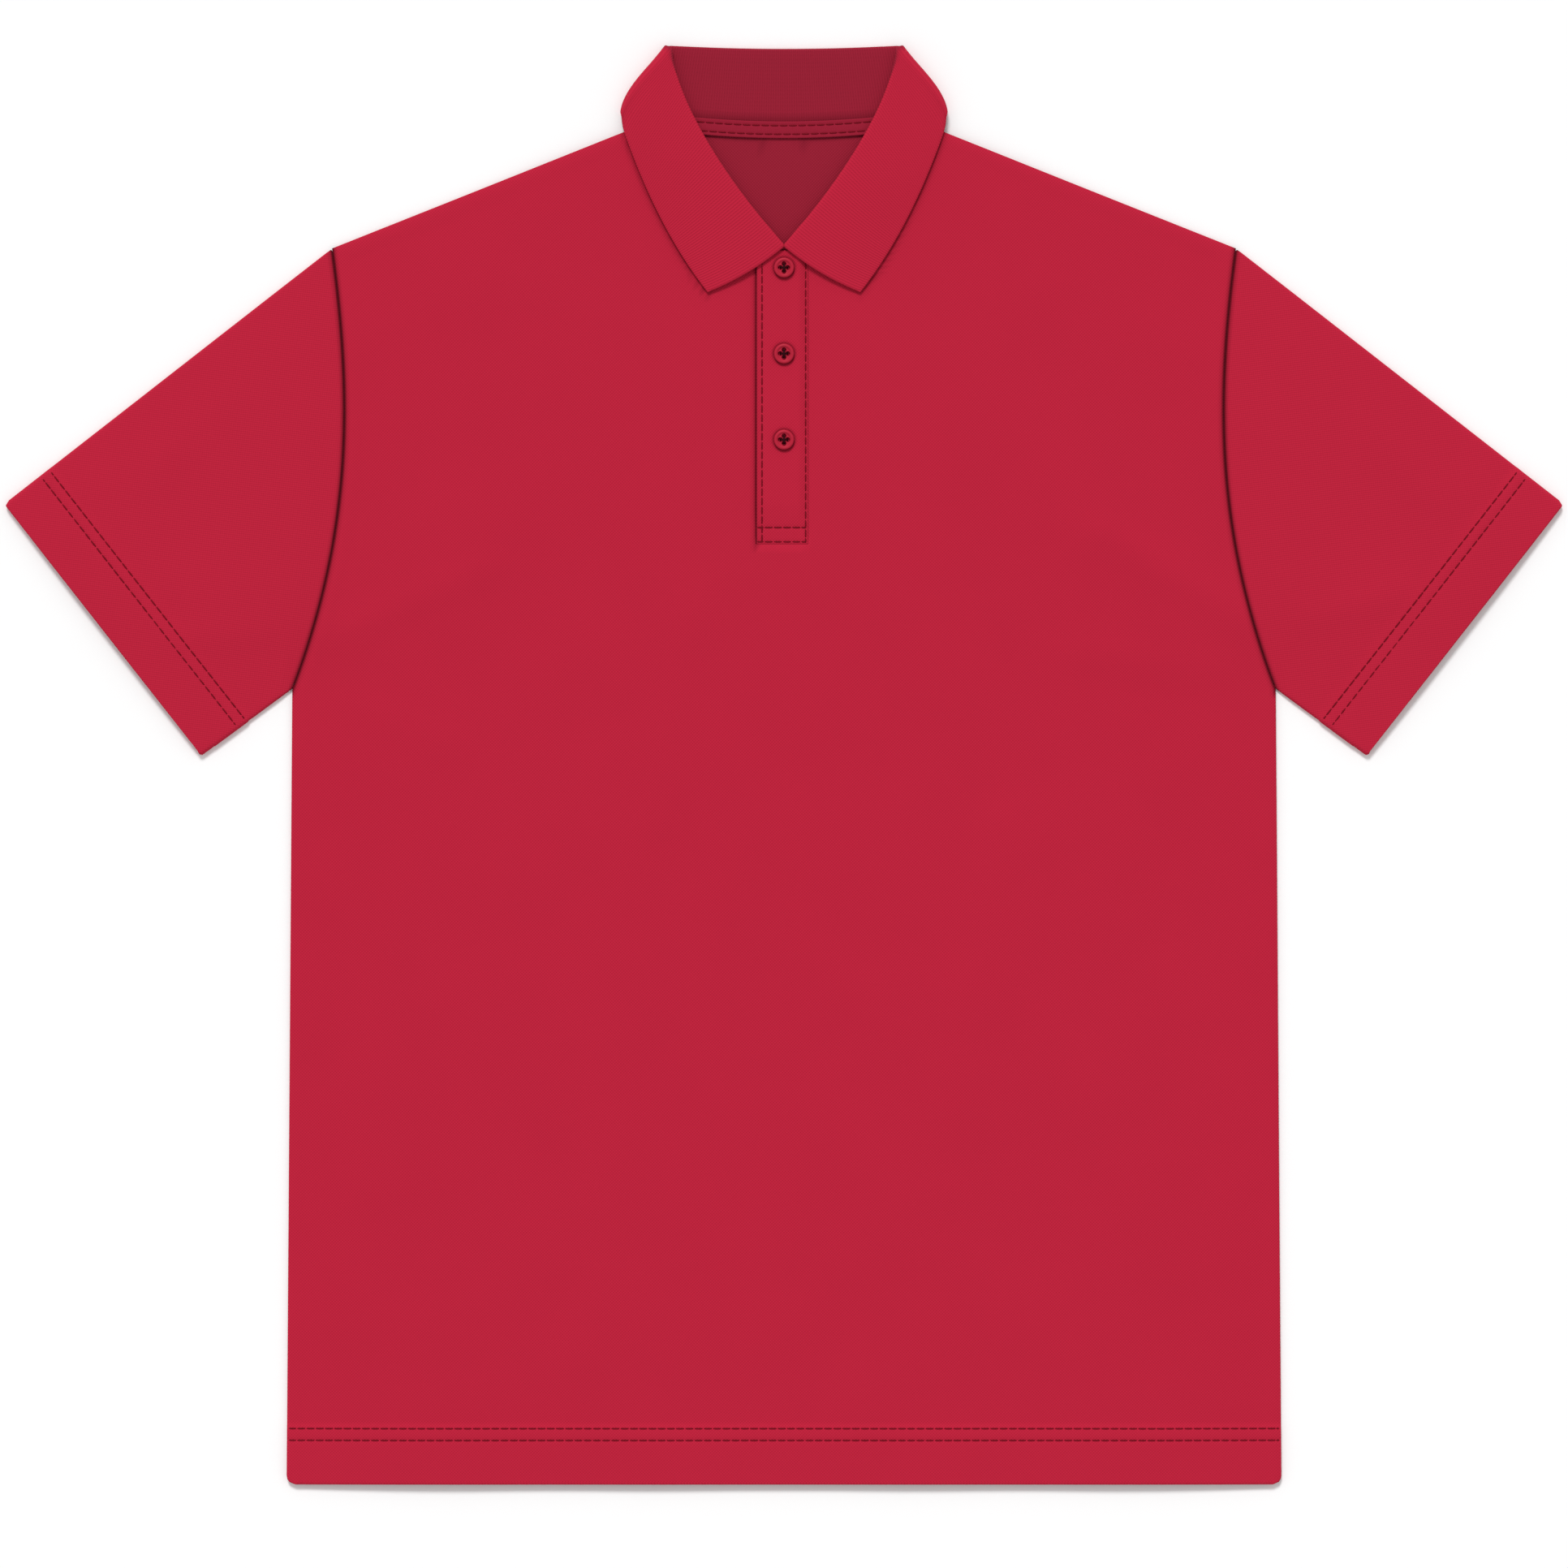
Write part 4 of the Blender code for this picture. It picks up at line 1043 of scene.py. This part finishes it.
class OBJECT_OT_shirt_collar(Operator):
    """Make the rib collar: stand, roll and leaf in one band"""

    bl_idname = "golf_shirt.collar"
    bl_label = "Collar"

    def execute(self, context):
        half, inner = collar_half()
        grid = np.concatenate([half, half[:, -2::-1] * (-1.0, 1.0, 1.0)], 1)
        inside = np.concatenate([inner, inner[:, -2::-1]], 1).reshape(-1)
        wales, courses = run_lengths(grid, 1), run_lengths(grid, 0)
        points, quads = grid.reshape(-1, 3), grid_quads(*grid.shape[:2])
        cloth = context.scene.golf_shirt_cloth
        rib = cloth_material(
            "collar_rib", cloth.rib, cloth.inside, cloth.rib_pitch, cloth.rib_pitch * 1.2, 0.25,
            cloth.relief * 1.2)
        # The rib's inside field blends in the inside colour, painted shade inside the neck; its seam field
        # is painted shade along the tape's edges
        collar = cloth_piece(
            "collar_rib_band", points, quads, RIB, crossed(wales, courses).reshape(-1, 2), (rib, rib),
            tape_shade(points[:, 0], points[:, 1]) * inside, inside)
        declare(
            "collar")
        return {"FINISHED"}


# ---------------------------------------------------------------- placket and tape

def make_band(name, node, xs, bottom, rows, height, materials):
    """A placket band: a plan grid, its top cut to the neck seam, raised to a height, as a shell of
    knit that is thin at its sewn edges."""
    foot = np.array([0.0, 0.8, 1.6, 2.4, 3.4, 4.6, 5.8, 7.0, 8.2, 9.2, 10.0, 10.8, 12.0]) / 167.0
    share = np.concatenate([foot, np.linspace(0.085, 0.995, rows), [1.0]])
    top = front_neck(np.arcsin(xs / NECK[0]))[..., 1] - GAP / 2
    y = bottom + (top - bottom) * share[:, None]
    x = np.broadcast_to(xs, y.shape)
    middle = np.stack([x, y, height(x, y)], -1).reshape(-1, 3)
    plan, quads = middle[:, :2], grid_quads(*x.shape)
    sewn = (np.abs(plan[:, 0] - BAND_RIGHT) < 0.01) | (np.abs(plan[:, 1] - BAND_BOTTOM) < 0.01)
    band = cloth_piece(
        name, middle, quads, CLOTH, plan, materials, band_shade(*plan.T),
        reach=np.where(sewn, SEWN_REACH, CLOTH / 2))
    declare(node)


class OBJECT_OT_shirt_placket(Operator):
    """Make the placket's upper and under bands"""

    bl_idname = "golf_shirt.placket"
    bl_label = "Placket"

    def execute(self, context):
        materials = knit_materials(context)
        upper = np.concatenate([
            BAND_LEFT + np.array([0.0, 0.5, 1.0]), PLACKET_COLUMNS[0] + BESIDE_COLUMN,
            np.linspace(-10.2, 9.0, 24), [9.8, 10.4], PLACKET_COLUMNS[1] + BESIDE_COLUMN[:-1],
            [BAND_RIGHT]])
        make_band(
            "placket_upper_band", "placket_top", upper, BAND_BOTTOM, 180, upper_band_height,
            materials)
        make_band(
            "placket_under_band", "placket_under", np.linspace(BAND_LEFT, UNDER_RIGHT, 14),
            UNDER_BOTTOM, 50, under_band_height, materials)
        return {"FINISHED"}


class OBJECT_OT_shirt_neck_tape(Operator):
    """Make the tape over the back neck seam"""

    bl_idname = "golf_shirt.neck_tape"
    bl_label = "Neck Tape"

    def execute(self, context):
        across = np.array([-TAPE_WIDTH / 2, -4.0, -3.3, -2.8, -2.4, -2.0, -1.4, -0.6])
        across = np.concatenate([across, -across[::-1]])
        grid = crossed(np.linspace(-TAPE_HALF_LENGTH, TAPE_HALF_LENGTH, 90), across)
        flat, quads = grid.reshape(-1, 2), grid_quads(*grid.shape[:2])
        x, y = flat[:, 0], back_neck_y(flat[:, 0]) + flat[:, 1]
        cloth = context.scene.golf_shirt_cloth
        weave = cloth_material("neck_tape_weave", cloth.tape, cloth.tape, 0.0011, 0.0008, 0.7, 0.00012)
        tape = cloth_piece(
            "neck_tape_strip", np.stack([x, y, tape_height(x, y)], -1), quads, TAPE, flat,
            (weave, weave), np.zeros(len(x)))
        declare(
            "neck_tape")
        return {"FINISHED"}


# ---------------------------------------------------------------- sewing

# Along a stitch: shares of its length, how far each point stands out of the cloth, and its thickness
STITCH_SHARES = np.array([0.0, 0.08, 0.25, 0.5, 0.75, 0.92, 1.0])
STITCH_RISES = np.array([-0.42, -0.02, 0.12, 0.16, 0.12, -0.02, -0.42])
STITCH_GIRTHS = np.array([0.55, 0.85, 1.0, 1.0, 1.0, 0.85, 0.55])
UNDER_INSET = 0.16    # how far the lower stitches are drawn in, so that they don't pass the surface


def strands(paths, sideways, radii, around=6):
    """Closed threads: a circle carried along each path, square to it.

    paths holds points of each thread, sideways one level direction for each, and radii the circle's
    radius at each point. The two end circles are closed with flat caps.
    """
    count, length = paths.shape[:2]
    tangent = unit(np.gradient(paths, axis=1))
    side = np.broadcast_to(sideways[:, None, :], paths.shape)
    up = unit(np.cross(side, tangent))
    phi = np.linspace(0.0, 2 * pi, around, endpoint=False)[:, None]
    ring = side[:, :, None] * np.cos(phi) + up[:, :, None] * np.sin(phi)
    points = paths[:, :, None] + ring * np.asarray(radii)[..., None, None]
    starts = np.arange(count)[:, None] * length * around
    quads = (grid_quads(length, around, wrap=True) + starts[:, None]).reshape(-1, 4)
    first, last = starts + np.arange(around)[::-1], starts + (length - 1) * around + np.arange(around)
    return points.reshape(-1, 3), quads.tolist() + first.tolist() + last.tolist()


def stitch_row(path, middle, wall, settings, phase=None, side=1.0):
    """Centre points of the stitches along a plan path: each dips into the cloth at both ends.

    They lie on the wall's upper face, or for side -1 on its lower one. The first whole stitch starts
    a phase along the path, or one stitch stands in its middle. Those that would pass an end of the
    path are cut short there.
    """
    pitch, length = settings.pitch / MM, settings.length / MM
    steps = run_lengths(path[:, None], 0)
    if phase is None:
        phase = (steps[-1] - length) / 2 % pitch
    starts = np.arange(phase - pitch, steps[-1], pitch)
    ends = np.minimum(starts + length, steps[-1])
    starts = np.maximum(starts, 0.0)
    whole = ends - starts > SHORTEST_STITCH
    s = starts[whole, None] + STITCH_SHARES * (ends - starts)[whole, None]
    x, y = np.interp(s, steps, path[:, 0]), np.interp(s, steps, path[:, 1])
    inset = UNDER_INSET * (side < 0)
    wall = wall(x, y) if callable(wall) else wall
    centres = np.stack([x, y, middle(x, y) + side * (wall / 2 - inset + STITCH_RISES)], -1)
    run = unit(centres[:, -1, :2] - centres[:, 0, :2])
    return centres, np.pad(-quarter_turn(run), ((0, 0), (0, 1)))


def stitches(name, rows, settings):
    """One piece that holds every stitch of several rows."""
    centres, sideways = (np.concatenate(parts) for parts in zip(*rows))
    radii = np.broadcast_to(settings.thickness / MM / 2 * STITCH_GIRTHS, centres.shape[:2])
    thread = thread_material("sewing_thread", settings.thread)
    new_piece(name, *strands(centres, sideways, radii), [thread])


def cuff_path(row, side):
    """A line across a sleeve, parallel to its cuff and a row's distance inside it."""
    ends = []
    for start, end in ((CUFF_TOP, SHOULDER), (CUFF_BOTTOM, UNDERARM)):
        edge = unit(np.subtract(end, start))
        ends.append(start + edge * row / (edge @ -quarter_turn(CUFF_RUN)))
    trim = unit(ends[1] - ends[0]) * CUFF_MARGIN
    return np.linspace(ends[0] + trim, ends[1] - trim, 60) * (side, 1.0)


class OBJECT_OT_shirt_stitching(Operator):
    """Make the rows of stitches on the hems, the placket and the tape"""

    bl_idname = "golf_shirt.stitching"
    bl_label = "Stitching"

    def execute(self, context):
        settings = context.scene.golf_shirt_sewing
        for name, height, side in (("front", front_height, 1.0), ("back", back_height, -1.0)):
            reaches = side_edge(np.array(BODY_ROWS)) - ROW_MARGIN
            stitches(f"hem_stitches_{name}", [
                stitch_row(np.linspace((-reach, row), (reach, row), 200), height, wall_of, settings,
                           HEM_PHASE, side)
                for row, reach in zip(BODY_ROWS, reaches)], settings)
        for name, side in (("left", 1.0), ("right", -1.0)):
            stitches(f"cuff_stitches_{name}", [
                stitch_row(cuff_path(row, side), height, wall_of, settings, side=face)
                for row in CUFF_ROWS
                for height, face in ((sleeve_height, 1.0), (back_height, -1.0))], settings)
        (foot, right), ends = (PLACKET_ROWS[0] - 0.5, PLACKET_COLUMNS[1] + BOX_MARGIN), 291.0
        paths = [
            (np.linspace((x, foot), (x, ends), 60), phase)
            for x, phase in zip(PLACKET_COLUMNS, COLUMN_PHASES)]
        paths += [
            (np.linspace((BAND_LEFT + BOX_MARGIN, y), (right, y), 12), BOX_PHASE) for y in PLACKET_ROWS]
        stitches("placket_stitches", [
            stitch_row(path, upper_band_height, CLOTH, settings, phase) for path, phase in paths
        ], settings)
        x = np.linspace(-TAPE_HALF_LENGTH, TAPE_HALF_LENGTH, 80)
        stitches("tape_stitches", [
            stitch_row(np.stack([x, back_neck_y(x) + row], -1), tape_height, TAPE, settings, phase)
            for row, phase in zip(TAPE_ROWS, TAPE_PHASES)], settings)
        return {"FINISHED"}


# ---------------------------------------------------------------- buttons

# Radius and height of a hole's cutter, which flares at the top, and the button thread's path across
HOLE_PROFILE = ((0.3, 3.0), (1.5, 3.0), (1.5, 1.6), (1.36, 1.44), (1.22, 1.25), (1.12, 0.95),
                (1.1, -1.0), (0.3, -1.0))
THREAD_PLACES = HOLE_OFFSET * np.array([-1.0, -0.97, -0.8, -0.45, 0.0, 0.45, 0.8, 0.97, 1.0])
THREAD_RISES = np.array([-0.3, 0.7, 1.35, 1.72, 1.85, 1.72, 1.35, 0.7, -0.3])
THREAD_RADIUS, THREAD_OVER = 0.3, 0.32    # and how far the upper pair passes over the lower one


def turned_solid(profile, segments):
    """A closed body of revolution: the profile turned about Z, its two ends closed with flat caps."""
    phi = np.linspace(0.0, 2 * pi, segments, endpoint=False)
    radius, height = np.array(profile, float).T[:, :, None]
    grid = np.stack([radius * np.cos(phi), radius * np.sin(phi), height + 0.0 * phi], -1)
    quads, around = grid_quads(len(profile), segments, wrap=True)[:, ::-1], np.arange(segments)
    caps = [around.tolist(), ((len(profile) - 1) * segments + around[::-1]).tolist()]
    return grid.reshape(-1, 3), quads.tolist() + caps


def button_profile():
    """Radius and height of the button, from the middle of the hollow over the rim to the foot."""
    r, turn = np.linspace(3.3, 4.45, 7), np.linspace(pi / 2, 0.0, 8)
    return np.concatenate([
        [(0.5, 1.5), (1.8, 1.5), (3.1, 1.5)], np.stack([r, 1.5 + 0.8 * smooth(3.2, 4.5, r)], -1),
        np.stack([4.6 + 1.1 * np.cos(turn), 1.4 + 0.9 * np.sin(turn)], -1),
        [(5.62, 1.0), (5.45, 0.6), (5.1, 0.25), (4.7, 0.06), (4.2, 0.0), (0.5, 0.0)]])


def vertex_places(mesh):
    """The mesh's points, in metres, as rows of three."""
    place = np.zeros(len(mesh.vertices) * 3, np.float32)
    mesh.vertices.foreach_get("co", place)
    return place.reshape(-1, 3)


def button_mesh(segments, material):
    """The turned button less its four holes, with its field of painted shade in them."""
    body = new_piece("button_blank", *turned_solid(button_profile(), segments), [material])
    drills = []
    for angle in np.arange(4) * pi / 2:
        points, faces = turned_solid(HOLE_PROFILE, 24)
        points = points + np.array([np.cos(angle), np.sin(angle), 0.0]) * HOLE_OFFSET
        drills.append(new_piece("drill", points, faces, [material]))
        cut = body.modifiers.new("hole", "BOOLEAN")
        cut.operation, cut.solver, cut.object = "DIFFERENCE", "EXACT", drills[-1]
    graph = bpy.context.evaluated_depsgraph_get()
    mesh = bpy.data.meshes.new_from_object(body.evaluated_get(graph))
    mesh.set_sharp_from_angle(angle=radians(42.0))
    x, y, z = vertex_places(mesh).T / MM
    away = np.min([np.hypot(np.abs(x) - HOLE_OFFSET, y), np.hypot(x, np.abs(y) - HOLE_OFFSET)], axis=0)
    # Painted shade on the holes' walls, stored in the seam field
    deep = (away < 1.45) * (1.0 - smooth(1.2, 1.49, z))
    mesh.attributes.new("seam", "FLOAT", "POINT").data.foreach_set("value", deep.astype(np.float32))
    for item in [body, *drills]:
        bpy.data.objects.remove(item, do_unlink=True)
    return mesh


class OBJECT_OT_shirt_buttons(Operator):
    """Make the three buttons and the thread that holds them"""

    bl_idname = "golf_shirt.buttons"
    bl_label = "Buttons"

    def execute(self, context):
        settings = context.scene.golf_shirt_buttons
        pattern = button_mesh(settings.segments, resin_material(settings.resin))
        threads, sideways = [], []
        for number, y in enumerate(BUTTON_YS, 1):
            foot = float(front_mid(0.0, y)) + BAND_RISE + CLOTH / 2 + GAP
            mesh = pattern.copy()
            place = vertex_places(mesh) + np.array([0.0, y, foot], np.float32) * MM
            mesh.vertices.foreach_set("co", place.reshape(-1))
            mesh.update()
            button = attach(placed(f"shirt_button_{number}", mesh), "root")
            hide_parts(f"button_{number}")
            for way, extra in ((np.array([1.0, 0.0]), 0.0), (np.array([0.0, 1.0]), THREAD_OVER)):
                side = quarter_turn(way)
                for shift in (-THREAD_RADIUS, THREAD_RADIUS):
                    plan = THREAD_PLACES[:, None] * way + side * shift + (0.0, y)
                    z = foot + THREAD_RISES + extra * (THREAD_RISES > 1.0)
                    threads.append(np.column_stack([plan, z]))
                    sideways.append(np.append(side, 0.0))
        radii = np.full((len(threads), len(THREAD_RISES)), THREAD_RADIUS)
        points, faces = strands(np.array(threads), np.array(sideways), radii, 8)
        dark = thread_material("button_thread", settings.thread)
        new_piece("button_thread", points, faces, [dark])
        bpy.data.meshes.remove(pattern)
        return {"FINISHED"}


# ---------------------------------------------------------------- stage

FILM_WIDTH = 36.0                   # of the camera, in millimetres of film
VIEW_Y, VIEW_Z = -0.01084, 0.003    # the point that the camera looks at, in metres
FLOOR_REACH, FLOOR_DROP = 6000.0, 0.05
KEY_SPREAD, KEY_LEAN, KEY_TURN = 16.0, -42.0, 10.0    # of the light, in degrees


class OBJECT_OT_shirt_stage(Operator):
    """Make the floor, the soft light and the camera straight above"""

    bl_idname = "golf_shirt.stage"
    bl_label = "Stage"

    def execute(self, context):
        scene, settings = context.scene, context.scene.golf_shirt_stage
        side = np.linspace(-FLOOR_REACH, FLOOR_REACH, 25)
        grid = np.pad(crossed(side, side), ((0, 0), (0, 0), (0, 1)), constant_values=-FLOOR_DROP)
        mesh = bpy.data.meshes.new("floor")
        mesh.from_pydata((grid.reshape(-1, 3) * MM).tolist(), [], grid_quads(25, 25).tolist())
        mesh.materials.append(paper_material(settings.floor))
        placed("floor", mesh)

        scene.world = bpy.data.worlds.new("daylight")
        scene.world.use_nodes = True
        tree = scene.world.node_tree
        fill(tree, tree.nodes["Background"], {
            "Color": (1.0, 1.0, 1.0, 1.0), "Strength": settings.daylight})
        lamp = bpy.data.lights.new("key_light", "SUN")
        lamp.energy, lamp.angle = settings.key, radians(KEY_SPREAD)
        placed("key_light", lamp).rotation_euler = (radians(KEY_LEAN), 0.0, radians(KEY_TURN))

        lens = bpy.data.cameras.new("camera")
        lens.lens, lens.sensor_width = settings.lens, FILM_WIDTH
        lens.clip_start, lens.clip_end = 0.1, 100.0
        scene.camera = placed("camera", lens)
        scene.camera.location = (0.0, VIEW_Y, settings.view_width * settings.lens / FILM_WIDTH + VIEW_Z)
        scene.view_settings.view_transform = "Standard"
        scene.view_settings.look = "None"
        return {"FINISHED"}


# ---------------------------------------------------------------- add-on

SETTINGS = (
    ("golf_shirt_cloth", GolfShirtCloth), ("golf_shirt_sewing", GolfShirtSewing),
    ("golf_shirt_buttons", GolfShirtButtons), ("golf_shirt_stage", GolfShirtStage),
)
OPERATORS = (
    OBJECT_OT_shirt_stage, OBJECT_OT_shirt_stitching, OBJECT_OT_shirt_panels, OBJECT_OT_shirt_sleeves,
    OBJECT_OT_shirt_collar, OBJECT_OT_shirt_placket, OBJECT_OT_shirt_neck_tape,
    OBJECT_OT_shirt_buttons,
)


class VIEW3D_PT_golf_shirt(Panel):
    """Settings and steps of the golf shirt"""

    bl_label = "Golf Shirt"
    bl_idname = "VIEW3D_PT_golf_shirt"
    bl_space_type = "VIEW_3D"
    bl_region_type = "UI"
    bl_category = "Golf Shirt"

    def draw(self, context):
        for key, group in SETTINGS:
            box = self.layout.box()
            for name in group.__annotations__:
                box.prop(getattr(context.scene, key), name)
        for operator in OPERATORS:
            self.layout.operator(operator.bl_idname)


def register():
    for _, group in SETTINGS:
        bpy.utils.register_class(group)
    for key, group in SETTINGS:
        setattr(bpy.types.Scene, key, PointerProperty(type=group))
    for item in (*OPERATORS, VIEW3D_PT_golf_shirt):
        bpy.utils.register_class(item)


def unregister():
    for item in (VIEW3D_PT_golf_shirt, *reversed(OPERATORS)):
        bpy.utils.unregister_class(item)
    for key, group in reversed(SETTINGS):
        delattr(bpy.types.Scene, key)
        bpy.utils.unregister_class(group)


def main():
    register()
    bpy.ops.golf_shirt.stage()
    bpy.ops.golf_shirt.stitching()
    bpy.ops.golf_shirt.panels()
    bpy.ops.golf_shirt.sleeves()
    bpy.ops.golf_shirt.collar()
    bpy.ops.golf_shirt.placket()
    bpy.ops.golf_shirt.neck_tape()
    bpy.ops.golf_shirt.buttons()


if __name__ == "__main__":
    main()
